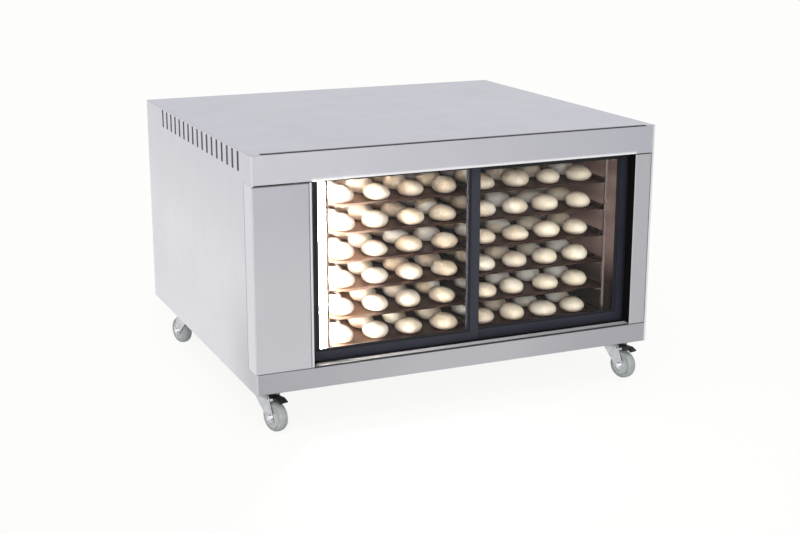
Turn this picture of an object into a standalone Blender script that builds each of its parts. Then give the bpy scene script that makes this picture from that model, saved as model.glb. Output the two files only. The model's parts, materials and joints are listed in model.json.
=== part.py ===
"""Proofing cabinet on castors: a low stainless body with two sliding glass doors, three tray racks and a side
compartment that makes the warm damp air.

The origin is on the floor under the middle of the cabinet. +Z is up and the front faces -Y.
Positions in the body are counted from its left face, its front face and its underside.
"""
import math

import bmesh
import bpy
from mathutils import Matrix, Vector

# Gap between pieces that seat on each other, and the length by which a cutter passes a wall
SEAT_GAP = 0.0003
OVERRUN = 0.004

# Sheet metal
OUTER_SHEET = 0.0015
BASE_SHEET = 0.002
LINER_SHEET = 0.0012
BEND_RADIUS = 0.003
BEND_STEPS = 3
CASING_FLANGE = 0.0055

# Front of the body
FASCIA_DROP = 0.002
PLINTH_HEIGHT = 0.0545
FRONT_SEAM = 0.0015
COVER_WIDTH = 0.1495
COVER_RETURN = 0.063
COVER_FLANGE = 0.014
JAMB_WIDTH = 0.0075
JAMB_FLANGE = 0.012
POST_WIDTH = 0.0563
REVEAL_DEPTH = 0.0365
CHAMBER_FRONT = 0.060

# Top panel
TOP_GAP = 0.0085
TOP_TAB = 0.025
TOP_FLANGE = 0.020
TOP_FLANGE_INSET = 0.0005

# Sill in front of the doors
SILL_GAP = 0.0023
SILL_SETBACK = 0.002

# Sliding doors
DOOR_FRONT = 0.0385
DOOR_THICKNESS = 0.008
DOOR_PLAY = 0.0004
DOOR_LAP = 0.008
DOOR_SIDE_GAP = 0.002
STILE = 0.0315
DOOR_HIDDEN_TOP = 0.0225
GLASS_THICKNESS = 0.004
GLASS_REBATE = 0.006
BEAD_WIDTH = 0.006
BEAD_DEPTH = 0.0015
DOOR_EDGE_BEVEL = 0.0008

# Door tracks
TRACK_LIP = 0.0012
TRACK_BASE = 0.0015
LOWER_LIP_HEIGHT = 0.002
UPPER_LIP_HEIGHT = 0.016
UPPER_TRACK_LIFT = 0.008

# Chamber, and the space between its walls and the outer panels
CHAMBER_FLOOR = 0.060
CHAMBER_HEIGHT = 0.480
CEILING_FLANGE = 0.036
ROOF_SPACE = 0.075
RIGHT_WALL_SPACE = 0.038
BACK_WALL_SPACE = 0.045
DUCT_WALL_INSET = 0.0512
DUCT_WALL_DEPTH = 0.0197
BAFFLE_DEPTH = 0.0489

# Trays and racks
LEVELS = 6
LOWEST_TRAY_LIFT = 0.0125
TOP_LEVEL_SPARE = 0.0145
TRAY_WIDTH = 0.400
TRAY_LENGTH = 0.800
TRAY_RIM = 0.007
TRAY_FLARE = 0.006
TRAY_SHEET = 0.0015
TRAY_CORNER = 0.018
TRAY_CORNER_STEPS = 3
TRAY_FRONT = 0.074
TRAY_SIDE_GAP = 0.0065
LAMP_BAY = 0.0548
RACK_RIGHT_SPACE = 0.064
RACK_BACK_SPACE = 0.101
UPRIGHT_WIDTH = 0.006
UPRIGHT_DEPTH = 0.008
UPRIGHT_INSET = 0.020
RUNNER_LEG = 0.020
RUNNER_RISE = 0.015
RUNNER_SHEET = 0.0015
RUNNER_PROUD = 0.001
RUNNER_OVERHANG = 0.002

# Lamp at the front left of the chamber
LAMP_RACK_GAP = 0.005
LAMP_WIDTH = 0.022
LAMP_DEPTH = 0.022
LAMP_BACK_DEPTH = 0.008
LAMP_SETBACK = 0.001
LAMP_STEPS = 8

# Vent slots
SLOT_COUNT = 17
SLOT_PITCH = 0.0455
SLOT_WIDTH = 0.0175
SLOT_HEIGHT = 0.050
SLOT_FIRST = 0.104
SLOT_TOP_MARGIN = 0.004
REAR_SLOT_COUNT = 6
REAR_SLOT_PITCH = 0.014
REAR_SLOT_WIDTH = 0.006
REAR_SLOT_HEIGHT = 0.090
REAR_SLOT_FIRST = 0.024
REAR_SLOT_BASE = 0.440

# Air baffle
BAFFLE_SLOT_COLUMNS = 3
BAFFLE_SLOT_PITCH = 0.050
BAFFLE_SLOT_LENGTH = 0.034
BAFFLE_SLOT_HEIGHT = 0.008
BAFFLE_SLOT_INSET = 0.070
INTAKE_RADIUS = 0.055
ROUND_STEPS = 24
SMALL_ROUND_STEPS = 12

# Fan
FAN_Y = 0.500
FAN_Z = 0.330
FAN_RADIUS = 0.075
FAN_HUB_RADIUS = 0.013
FAN_DISC = 0.0015
FAN_BLADES = 8
FAN_BLADE_DEPTH = 0.030
FAN_BLADE_SHEET = 0.0015
FAN_BLADE_INNER = 0.034
FAN_BLADE_SWEEP = math.radians(38)
FAN_BLADE_STEPS = 4
FAN_WALL_GAP = 0.006
MOTOR_RADIUS = 0.041
MOTOR_LENGTH = 0.058
MOTOR_FLANGE = 0.096
MOTOR_FLANGE_SHEET = 0.004
MOTOR_EDGE = 0.004
SHAFT_RADIUS = 0.004
SHAFT_HOLE_RADIUS = 0.007

# Heaters
RING_HEATER_RADIUS = 0.095
RING_HEATER_TUBE = 0.0045
RING_OPENING = math.radians(20)
RING_STEPS = 28
HEATER_TAIL_INSET = 0.0017
HEATER_BEND = 0.012
STEAM_TUBE = 0.004
STEAM_FRONT = 0.330
STEAM_LENGTH = 0.340
STEAM_PAN_CLEARANCE = 0.008
STEAM_LEG_CLEARANCE = 0.0102
TUBE_HOLE_GAP = 0.0004

# Evaporator pan
PAN_SIDE_GAP = 0.003
PAN_WIDTH = 0.042
PAN_FRONT = 0.180
PAN_LENGTH = 0.640
PAN_HEIGHT = 0.036

# Control unit
CONTROL_DEPTH = 0.0762
CONTROL_FRONT = 0.090
CONTROL_LENGTH = 0.160
CONTROL_BASE = 0.330
CONTROL_HEIGHT = 0.170
CONTROL_BEVEL = 0.004

# Connections under the base
GLAND_X = 0.050
INLET_X = 0.105
CONNECTIONS_SETBACK = 0.055
GLAND_NUT = 0.012
GLAND_NUT_HEIGHT = 0.008
GLAND_DOME = 0.009
GLAND_HEIGHT = 0.022
GLAND_BORE = 0.0045
INLET_NUT = 0.015
INLET_NUT_HEIGHT = 0.006
INLET_RADIUS = 0.0115
INLET_GROOVE = 0.0015
INLET_PITCH = 0.004
INLET_RIBS = 4
INLET_BORE = 0.008
HEXAGON = 6

# Castors
PLATE_WIDTH = 0.085
PLATE_LENGTH = 0.102
PLATE_SHEET = 0.003
PLATE_CORNER = 0.010
PLATE_BOLT_X = 0.030
PLATE_BOLT_Y = 0.038
PLATE_BOLT_RADIUS = 0.0045
CUP_RADIUS = 0.029
CUP_LOW_RADIUS = 0.024
CUP_DEPTH = 0.014
CUP_BORE = 0.016
CUP_OVERLAP = 0.001
KINGPIN_GAP = 0.0005
KINGPIN_RISE = 0.006
TRAIL = 0.035
WHEEL_RADIUS = 0.040
WHEEL_WIDTH = 0.030
WHEEL_STEPS = 28
WHEEL_SHOULDER = 0.005
WHEEL_RIM = 0.029
WHEEL_RIM_DEPTH = 0.004
WHEEL_HUB = 0.011
AXLE_RADIUS = 0.005
AXLE_GAP = 0.0003
AXLE_HEAD = 0.0085
AXLE_HEAD_HEIGHT = 0.004
FORK_CLEARANCE = 0.001
FORK_LEG = 0.0025
FORK_CROWN = 0.004
FORK_BACK = 0.027
FORK_FRONT = 0.032
FORK_BOSS = 0.013
FORK_BOSS_STEPS = 8
REAR_CASTOR_SETBACK = 0.183
FRONT_CASTOR_SETBACK = 0.078
CASTOR_INSET = 0.052
FRONT_LEFT_HEADING = math.radians(19)
FRONT_RIGHT_HEADING = math.radians(17)
REAR_LEFT_HEADING = math.radians(197)
REAR_RIGHT_HEADING = math.radians(188)

# Brake pedals of the front castors
PEDAL_PIVOT_INSET = 0.006
PEDAL_RISE = 0.0107
PEDAL_HEADROOM = 0.001
PEDAL_EDGE = 0.003
PEDAL_BARREL = 0.004
PEDAL_PIN = 0.0022
PEDAL_PIN_GAP = 0.0003
PEDAL_ARM = 0.0025
PEDAL_REACH = 0.046
PEDAL_TIP = 0.014
PEDAL_TIP_LIFT = 0.006
PEDAL_SHOE_REACH = 0.014
PEDAL_SHOE_CLEARANCE = 0.0032
PEDAL_SHOE_LENGTH = 0.006
PEDAL_HALF_WIDTH = 0.0125
PEDAL_STEPS = 12

# Merging distance for turned profiles that meet on their axis
MERGE = 0.000001

FINISHES = {
    "stainless": ((0.62, 0.62, 0.66), 0.32, 1.0),
    "liner_steel": ((0.55, 0.54, 0.53), 0.30, 1.0),
    "slate_frame": ((0.045, 0.050, 0.062), 0.45, 0.6),
    "glass": ((0.90, 0.95, 0.94), 0.03, 0.0),
    "tray_metal": ((0.60, 0.58, 0.55), 0.38, 1.0),
    "lamp_white": ((0.95, 0.95, 0.92), 0.40, 0.0),
    "zinc": ((0.72, 0.74, 0.76), 0.30, 1.0),
    "grey_rubber": ((0.36, 0.39, 0.38), 0.65, 0.0),
    "dark_plastic": ((0.05, 0.045, 0.045), 0.50, 0.0),
    "brass": ((0.70, 0.55, 0.28), 0.35, 1.0),
    "heater_steel": ((0.20, 0.19, 0.18), 0.45, 0.9),
    "motor_grey": ((0.25, 0.27, 0.29), 0.50, 0.3),
}

# Derived sizes of the castors
WHEEL_CENTRE = WHEEL_RADIUS * math.cos(math.pi / WHEEL_STEPS)
PEDAL_PIVOT_REACH = FORK_FRONT - PEDAL_PIVOT_INSET
PEDAL_PIVOT_HEIGHT = WHEEL_CENTRE + WHEEL_RADIUS + PEDAL_RISE
PEDAL_SHOE_DROP = PEDAL_RISE - PEDAL_SHOE_CLEARANCE
FORK_SKIRT = FORK_CROWN + PEDAL_HEADROOM + PEDAL_BARREL + PEDAL_EDGE
FORK_TOP = PEDAL_PIVOT_HEIGHT + PEDAL_BARREL + PEDAL_HEADROOM + FORK_CROWN
KINGPIN_RADIUS = CUP_BORE - KINGPIN_GAP
CASTOR_HEIGHT = FORK_TOP + SEAT_GAP + CUP_DEPTH + PLATE_SHEET + SEAT_GAP

# Derived places in the body, which is sized by its trays
DUCT_WALL_LEFT = COVER_WIDTH - DUCT_WALL_INSET
DUCT_WALL_RIGHT = DUCT_WALL_LEFT + DUCT_WALL_DEPTH
BAFFLE_RIGHT = DUCT_WALL_RIGHT + SEAT_GAP + BAFFLE_DEPTH
RACK_LEFT = BAFFLE_RIGHT + LAMP_BAY
RACK_PITCH = TRAY_WIDTH + 2 * TRAY_SIDE_GAP
LAMP_LEFT = RACK_LEFT - UPRIGHT_WIDTH / 2 - LAMP_RACK_GAP - LAMP_WIDTH
CHAMBER_RIGHT = RACK_LEFT + 2 * RACK_PITCH + RACK_RIGHT_SPACE
CHAMBER_BACK = TRAY_FRONT + TRAY_LENGTH + RACK_BACK_SPACE
CHAMBER_CEILING = CHAMBER_FLOOR + CHAMBER_HEIGHT
LOWEST_TRAY = CHAMBER_FLOOR + LOWEST_TRAY_LIFT
LEVEL_PITCH = (CHAMBER_HEIGHT - LOWEST_TRAY_LIFT - TOP_LEVEL_SPARE) / LEVELS
WIDTH = CHAMBER_RIGHT + RIGHT_WALL_SPACE
DEPTH = CHAMBER_BACK + BACK_WALL_SPACE
BODY_HEIGHT = CHAMBER_CEILING + ROOF_SPACE
LEFT = -WIDTH / 2
FRONT = -DEPTH / 2
FASCIA_BOTTOM = CHAMBER_CEILING - FASCIA_DROP
TOP_UNDERSIDE = BODY_HEIGHT - OUTER_SHEET
CASING_TOP = TOP_UNDERSIDE - SEAT_GAP
OPENING_LEFT = COVER_WIDTH + SEAT_GAP + JAMB_WIDTH
OPENING_RIGHT = WIDTH - POST_WIDTH
INNER_LEFT = CASING_FLANGE + SEAT_GAP
INNER_RIGHT = WIDTH - INNER_LEFT
INNER_BACK = DEPTH - CASING_FLANGE - SEAT_GAP
WALL_BASE = CHAMBER_FLOOR + SEAT_GAP
WALL_TOP = CHAMBER_CEILING - SEAT_GAP
WALL_FRONT = CHAMBER_FRONT + SEAT_GAP
DOOR_TOP = FASCIA_BOTTOM + DOOR_HIDDEN_TOP
DOOR_WIDTH = (OPENING_RIGHT - OPENING_LEFT) / 2 + DOOR_LAP + STILE / 2
DOOR_BASE = PLINTH_HEIGHT + SEAT_GAP + TRACK_BASE + SEAT_GAP
DOOR_PITCH = DOOR_THICKNESS + TRACK_LIP + 2 * DOOR_PLAY
PAN_LEFT = DUCT_WALL_RIGHT + PAN_SIDE_GAP
PAN_BASE = WALL_BASE + LINER_SHEET + SEAT_GAP
DUCT_MIDDLE = PAN_LEFT + PAN_WIDTH / 2
HEATER_TAIL = DUCT_WALL_LEFT + HEATER_TAIL_INSET
STEAM_LOW = PAN_BASE + LINER_SHEET + STEAM_TUBE + STEAM_PAN_CLEARANCE
STEAM_LEG = PAN_BASE + PAN_HEIGHT + STEAM_TUBE + STEAM_LEG_CLEARANCE


def at(x, y, z):
    """A point given by its distances from the body's left face, front face and underside."""
    return Vector((LEFT + x, FRONT + y, CASTOR_HEIGHT + z))


def clear_scene():
    for old in list(bpy.data.objects):
        bpy.data.objects.remove(old, do_unlink=True)


def make_finish(name):
    colour, roughness, metallic = FINISHES[name]
    finish = bpy.data.materials.new(name)
    finish.use_nodes = True
    shader = finish.node_tree.nodes["Principled BSDF"]
    shader.inputs["Base Color"].default_value = (*colour, 1.0)
    shader.inputs["Roughness"].default_value = roughness
    shader.inputs["Metallic"].default_value = metallic
    finish.diffuse_color = (*colour, 1.0)
    return finish


def add(name, mesh, finish=None, location=(0, 0, 0), parent=None):
    """Links a mesh as an object; without a finish it is a cutter or a guide that only shapes other pieces."""
    piece = bpy.data.objects.new(name, mesh)
    bpy.context.collection.objects.link(piece)
    piece.location = location
    piece.parent = parent
    if finish:
        mesh.materials.clear()
        mesh.materials.append(bpy.data.materials.get(finish) or make_finish(finish))
    else:
        piece.hide_render = True
        piece.display_type = "WIRE"
    return piece


def finished(geometry, name):
    bmesh.ops.recalc_face_normals(geometry, faces=geometry.faces)
    mesh = bpy.data.meshes.new(name)
    geometry.to_mesh(mesh)
    geometry.free()
    return mesh


def block(*boxes):
    """One mesh of boxes, each given by its low and its high corner."""
    geometry = bmesh.new()
    for low, high in boxes:
        low, high = Vector(low), Vector(high)
        place = Matrix.Translation((low + high) / 2) @ Matrix.Diagonal((*(high - low), 1))
        bmesh.ops.create_cube(geometry, size=1, matrix=place)
    return finished(geometry, "block")


def prism(outlines, axis, start, end):
    """Closed outlines extruded along an axis; each point gives the other two axes, in X, Y, Z order."""
    order = {"X": (2, 0, 1), "Y": (0, 2, 1), "Z": (0, 1, 2)}[axis]
    geometry = bmesh.new()
    for outline in outlines:
        corners = [[(*point, start)[k] for k in order] for point in outline]
        base = geometry.faces.new([geometry.verts.new(corner) for corner in corners])
        grown = bmesh.ops.extrude_face_region(geometry, geom=[base])["geom"]
        moved = [item for item in grown if isinstance(item, bmesh.types.BMVert)]
        bmesh.ops.translate(geometry, verts=moved, vec=[(0, 0, end - start)[k] for k in order])
    return finished(geometry, "prism")


def turned(profile, steps):
    """A closed or axis-to-axis profile of (radius, height) points turned about the local Z axis."""
    geometry = bmesh.new()
    points = [geometry.verts.new((radius, 0, height)) for radius, height in profile]
    pairs = list(zip(points, points[1:]))
    if profile[0][0] > 0:
        pairs.append((points[-1], points[0]))
    edges = [geometry.edges.new(pair) for pair in pairs]
    bmesh.ops.spin(geometry, geom=points + edges, cent=(0, 0, 0), axis=(0, 0, 1), angle=math.tau, steps=steps,
                   use_merge=True)
    bmesh.ops.remove_doubles(geometry, verts=geometry.verts, dist=MERGE)
    mesh = finished(geometry, "turned")
    mesh.shade_smooth()
    mesh.set_sharp_from_angle(angle=math.radians(30))
    return mesh


def facing(mesh, axis):
    """Turns a mesh made about Z so that its axis lies along X or Y."""
    turns = {"X": Matrix.Rotation(math.pi / 2, 4, "Y"), "Y": Matrix.Rotation(-math.pi / 2, 4, "X")}
    mesh.transform(turns[axis])
    return mesh


def arc(centre, radius, start, end, steps):
    """Points on an arc in a plane, from one angle to another."""
    angles = [start + (end - start) * k / steps for k in range(steps + 1)]
    return [(centre[0] + radius * math.cos(a), centre[1] + radius * math.sin(a)) for a in angles]


def rounded(points, radii, steps=BEND_STEPS):
    """An open path, in a plane or in space, with an arc at each inner corner that has a radius."""
    points = [Vector(point) for point in points]
    path = [points[0]]
    for before, corner, after, radius in zip(points, points[1:], points[2:], radii):
        if not radius:
            path.append(corner)
            continue
        back, ahead = (before - corner).normalized(), (after - corner).normalized()
        half = math.acos(max(-1, min(1, back.dot(ahead)))) / 2
        centre = corner + (back + ahead).normalized() * radius / math.sin(half)
        reach = radius / math.tan(half)
        first, last = corner + back * reach - centre, corner + ahead * reach - centre
        sweep = math.pi - 2 * half
        for k in range(steps + 1):
            share = k / steps
            weights = math.sin((1 - share) * sweep), math.sin(share * sweep)
            path.append(centre + (first * weights[0] + last * weights[1]) / math.sin(sweep))
    return path + [points[-1]]


def folded(path, sheet, sharp=()):
    """The closed outline of a folded sheet: the path is its outer face, the metal lies to the path's left.

    The corners named in sharp, counted from the path's start, have no bend radius.
    """
    face = rounded(path, [0 if k in sharp else BEND_RADIUS for k in range(1, len(path) - 1)])
    inner = []
    for k, point in enumerate(face):
        runs = [(b - a).normalized() for a, b in zip(face[max(k - 1, 0):k + 1], face[max(k, 1):k + 2])]
        lefts = [Vector((-run.y, run.x)) for run in runs]
        mean = sum(lefts, Vector((0, 0))).normalized()
        inner.append(point + mean * sheet / mean.dot(lefts[0]))
    return face + inner[::-1]


def add_casing(name, low, high, open_side, sheet, finish):
    """A five-sided folded panel: a box without its open side, given its sheet thickness."""
    axis = Vector([open_side[1] == letter for letter in "XYZ"]) * (1 if open_side[0] == "+" else -1)
    low, high = Vector(low), Vector(high)
    geometry = bmesh.new()
    place = Matrix.Translation((low + high) / 2) @ Matrix.Diagonal((*(high - low), 1))
    bmesh.ops.create_cube(geometry, size=1, matrix=place)
    geometry.normal_update()
    gone = [face for face in geometry.faces if face.normal.dot(axis) > math.cos(math.pi / 4)]
    bmesh.ops.delete(geometry, geom=gone, context="FACES_ONLY")
    mesh = bpy.data.meshes.new(name)
    geometry.to_mesh(mesh)
    geometry.free()
    piece = add(name, mesh, finish)
    walls = piece.modifiers.new("sheet", "SOLIDIFY")
    walls.thickness = sheet
    walls.offset = -1
    walls.use_even_offset = True
    return piece


def combine(piece, tool_mesh, operation):
    tool = add(piece.name + "_" + operation.lower(), tool_mesh, location=piece.location, parent=piece.parent)
    step = piece.modifiers.new(operation.lower(), "BOOLEAN")
    step.operation = operation
    step.solver = "EXACT"
    step.object = tool


def cut(piece, tool_mesh):
    """Cuts a mesh, given in the piece's own frame, out of the piece."""
    combine(piece, tool_mesh, "DIFFERENCE")


def join(piece, tool_mesh):
    """Joins a mesh, given in the piece's own frame, to the piece."""
    combine(piece, tool_mesh, "UNION")


def soften(piece, width):
    edge = piece.modifiers.new("edges", "BEVEL")
    edge.width = width
    edge.segments = 1
    edge.limit_method = "ANGLE"


def tube(name, path, radius, finish):
    """A round tube along a path of points in space."""
    curve = bpy.data.curves.new(name, "CURVE")
    curve.dimensions = "3D"
    curve.bevel_depth = radius
    curve.bevel_resolution = 2
    curve.use_fill_caps = True
    line = curve.splines.new("POLY")
    line.points.add(len(path) - 1)
    for point, place in zip(line.points, path):
        point.co = (*place, 1)
    piece = bpy.data.objects.new(name, curve)
    bpy.context.collection.objects.link(piece)
    curve.materials.append(bpy.data.materials.get(finish) or make_finish(finish))


def base_pan():
    """The folded pan under the body; its front is the plinth and its front flange carries the tracks."""
    corners = ((CHAMBER_FRONT, PLINTH_HEIGHT), (0, PLINTH_HEIGHT), (0, 0), (INNER_BACK, 0),
               (INNER_BACK, PLINTH_HEIGHT), (INNER_BACK - COVER_FLANGE, PLINTH_HEIGHT))
    sheet = folded([at(0, y, z).yz for y, z in corners], BASE_SHEET)
    add("base_pan", prism([sheet], "X", LEFT + INNER_LEFT, LEFT + INNER_RIGHT), "stainless")


def side_panels():
    """Folded side panels; the left one has the vent slots and a notch that the service cover closes."""
    top = CASING_TOP
    left = add_casing("left_side_panel", at(0, 0, 0), at(CASING_FLANGE, DEPTH, top), "+X", OUTER_SHEET,
                      "stainless")
    notch_low = PLINTH_HEIGHT + FRONT_SEAM - SEAT_GAP
    notch_high = FASCIA_BOTTOM - FRONT_SEAM + SEAT_GAP
    cut(left, block((at(-OVERRUN, -OVERRUN, notch_low),
                     at(CASING_FLANGE + OVERRUN, COVER_RETURN + SEAT_GAP, notch_high))))
    slot_top = top - SLOT_TOP_MARGIN
    slots = []
    for k in range(SLOT_COUNT):
        y = SLOT_FIRST + k * SLOT_PITCH
        slots.append((at(-OVERRUN, y - SLOT_WIDTH / 2, slot_top - SLOT_HEIGHT),
                      at(OUTER_SHEET + OVERRUN / 2, y + SLOT_WIDTH / 2, slot_top)))
    cut(left, block(*slots))
    add_casing("right_side_panel", at(WIDTH - CASING_FLANGE, 0, 0), at(WIDTH, DEPTH, top), "-X", OUTER_SHEET,
               "stainless")


def back_panel():
    back = add_casing("back_panel", at(INNER_LEFT, DEPTH - CASING_FLANGE, 0),
                      at(INNER_RIGHT, DEPTH, CASING_TOP), "-Y", OUTER_SHEET, "stainless")
    slots = []
    for k in range(REAR_SLOT_COUNT):
        x = REAR_SLOT_FIRST + k * REAR_SLOT_PITCH
        slots.append((at(x - REAR_SLOT_WIDTH / 2, DEPTH - OUTER_SHEET - OVERRUN / 2, REAR_SLOT_BASE),
                      at(x + REAR_SLOT_WIDTH / 2, DEPTH + OVERRUN, REAR_SLOT_BASE + REAR_SLOT_HEIGHT)))
    cut(back, block(*slots))


def top_panel():
    """The top sheet, notched along its front edge so that a narrow gap stays behind the fascia."""
    notch = OUTER_SHEET + TOP_GAP
    corners = ((0, 0), (TOP_TAB, 0), (TOP_TAB, notch), (WIDTH - TOP_TAB, notch), (WIDTH - TOP_TAB, 0),
               (WIDTH, 0), (WIDTH, DEPTH), (0, DEPTH))
    outline = [at(x, y, 0).xy for x, y in corners]
    top = add("top_panel", prism([outline], "Z", CASTOR_HEIGHT + TOP_UNDERSIDE, CASTOR_HEIGHT + BODY_HEIGHT),
              "stainless")
    front = notch + TOP_FLANGE_INSET
    join(top, block((at(TOP_TAB + SEAT_GAP, front, BODY_HEIGHT - TOP_FLANGE),
                     at(WIDTH - TOP_TAB - SEAT_GAP, front + OUTER_SHEET, TOP_UNDERSIDE + OUTER_SHEET / 2))))


def fascia():
    """The front cover over the doors; behind its rounded lower fold a shelf holds the upper track."""
    shelf = DOOR_TOP + UPPER_TRACK_LIFT + TRACK_BASE + SEAT_GAP
    lip = REVEAL_DEPTH - SEAT_GAP
    corners = ((0, CASING_TOP), (0, FASCIA_BOTTOM), (lip, FASCIA_BOTTOM), (lip, shelf), (CHAMBER_FRONT, shelf))
    sheet = folded([at(0, y, z).yz for y, z in corners], OUTER_SHEET, sharp=(3,))
    add("front_fascia", prism([sheet], "X", LEFT + INNER_LEFT, LEFT + INNER_RIGHT), "stainless")


def front_uprights():
    """Service cover, left jamb and right post, which stand between the plinth and the fascia."""
    low = CASTOR_HEIGHT + PLINTH_HEIGHT + FRONT_SEAM
    high = CASTOR_HEIGHT + FASCIA_BOTTOM - FRONT_SEAM
    cover = [(COVER_FLANGE, COVER_RETURN), (0, COVER_RETURN), (0, 0), (COVER_WIDTH, 0),
             (COVER_WIDTH, COVER_FLANGE)]
    stop_left = OPENING_LEFT - DOOR_LAP - DOOR_SIDE_GAP
    jamb_left = COVER_WIDTH + SEAT_GAP
    jamb = [(jamb_left, JAMB_FLANGE), (jamb_left, 0), (OPENING_LEFT, 0), (OPENING_LEFT, REVEAL_DEPTH),
            (stop_left, REVEAL_DEPTH), (stop_left, CHAMBER_FRONT)]
    stop_right = OPENING_RIGHT + DOOR_LAP + DOOR_SIDE_GAP
    post = [(stop_right, CHAMBER_FRONT), (stop_right, REVEAL_DEPTH), (OPENING_RIGHT, REVEAL_DEPTH),
            (OPENING_RIGHT, 0), (INNER_RIGHT, 0), (INNER_RIGHT, COVER_FLANGE)]
    for name, corners, sharp in (("service_cover", cover, ()), ("left_jamb", jamb, (4,)),
                                 ("right_post", post, (1,))):
        path = [at(x, y, 0).xy for x, y in corners]
        add(name, prism([folded(path, OUTER_SHEET, sharp)], "Z", low, high), "stainless")


def sill():
    top = PLINTH_HEIGHT + SILL_GAP + OUTER_SHEET
    back = REVEAL_DEPTH - SEAT_GAP
    path = [at(0, y, z).yz for y, z in ((back, PLINTH_HEIGHT + SEAT_GAP), (back, top), (SILL_SETBACK, top))]
    add("door_sill", prism([folded(path, OUTER_SHEET)], "X", LEFT + OPENING_LEFT + SEAT_GAP,
                           LEFT + OPENING_RIGHT - SEAT_GAP), "stainless")


def comb(base, depth, lip):
    """A track's outline in Y and Z: three lips with a groove for each door; depth and lip may be negative."""
    left = DOOR_FRONT - DOOR_PLAY - TRACK_LIP
    lips = [left + k * DOOR_PITCH for k in range(3)]
    outline = [(lips[0], base), (lips[-1] + TRACK_LIP, base)]
    for k, y in reversed(list(enumerate(lips))):
        outline += [(y + TRACK_LIP, lip), (y, lip)]
        if k:
            outline += [(y, base + depth), (lips[k - 1] + TRACK_LIP, base + depth)]
    return [at(0, y, z).yz for y, z in outline]


def tracks():
    start = LEFT + OPENING_LEFT - DOOR_LAP - DOOR_SIDE_GAP + SEAT_GAP
    end = LEFT + OPENING_RIGHT + DOOR_LAP + DOOR_SIDE_GAP - SEAT_GAP
    base = PLINTH_HEIGHT + SEAT_GAP
    lower = comb(base, TRACK_BASE, base + TRACK_BASE + LOWER_LIP_HEIGHT)
    add("lower_track", prism([lower], "X", start, end), "liner_steel")
    base = DOOR_TOP + UPPER_TRACK_LIFT + TRACK_BASE
    upper = comb(base, -TRACK_BASE, base - TRACK_BASE - UPPER_LIP_HEIGHT)
    add("upper_track", prism([upper], "X", start, end), "liner_steel")


def sliding_door(side, left, front):
    """A door frame with a glazing bead, and the pane in its groove."""
    right, back = left + DOOR_WIDTH, front + DOOR_THICKNESS
    frame = add(side + "_door_frame", block((at(left, front, DOOR_BASE), at(right, back, DOOR_TOP))),
                "slate_frame")
    soften(frame, DOOR_EDGE_BEVEL)
    window = (at(left + STILE, front - OVERRUN, DOOR_BASE + STILE),
              at(right - STILE, back + OVERRUN, DOOR_TOP - STILE))
    groove_front = front + (DOOR_THICKNESS - GLASS_THICKNESS) / 2
    groove_back = groove_front + GLASS_THICKNESS
    inset = STILE - GLASS_REBATE
    bead = STILE - BEAD_WIDTH
    cut(frame, block(window))
    cut(frame, block((at(left + inset - SEAT_GAP, groove_front - SEAT_GAP, DOOR_BASE + inset - SEAT_GAP),
                      at(right - inset + SEAT_GAP, groove_back + SEAT_GAP, DOOR_TOP - inset + SEAT_GAP))))
    cut(frame, block((at(left + bead, front - OVERRUN, DOOR_BASE + bead),
                      at(right - bead, front + BEAD_DEPTH, DOOR_TOP - bead))))
    add(side + "_door_glass", block((at(left + inset, groove_front, DOOR_BASE + inset),
                                     at(right - inset, groove_back, DOOR_TOP - inset))), "glass")


def doors():
    sliding_door("left", OPENING_LEFT - DOOR_LAP, DOOR_FRONT)
    sliding_door("right", OPENING_RIGHT + DOOR_LAP - DOOR_WIDTH, DOOR_FRONT + DOOR_PITCH)


def chamber():
    """Folded liner panels round the chamber; their open sides face the insulation."""
    def panel(name, low, high, open_side):
        return add_casing(name, at(*low), at(*high), open_side, LINER_SHEET, "liner_steel")
    panel("chamber_floor", (DUCT_WALL_LEFT, WALL_FRONT, BASE_SHEET + SEAT_GAP),
          (INNER_RIGHT, INNER_BACK - COVER_FLANGE - SEAT_GAP, CHAMBER_FLOOR), "-Z")
    inner_right = WIDTH - OUTER_SHEET - SEAT_GAP
    inner_back = DEPTH - OUTER_SHEET - SEAT_GAP
    panel("chamber_ceiling", (DUCT_WALL_LEFT, WALL_FRONT, CHAMBER_CEILING),
          (inner_right, CHAMBER_BACK + CEILING_FLANGE, CHAMBER_CEILING + CEILING_FLANGE), "+Z")
    panel("chamber_right_wall", (CHAMBER_RIGHT, WALL_FRONT, WALL_BASE),
          (inner_right, CHAMBER_BACK, WALL_TOP), "+X")
    panel("chamber_back_wall", (DUCT_WALL_LEFT, CHAMBER_BACK + SEAT_GAP, WALL_BASE),
          (CHAMBER_RIGHT, inner_back, WALL_TOP), "+Y")
    return panel("duct_wall", (DUCT_WALL_LEFT, WALL_FRONT, WALL_BASE),
                 (DUCT_WALL_RIGHT, CHAMBER_BACK, WALL_TOP), "-X")


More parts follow.
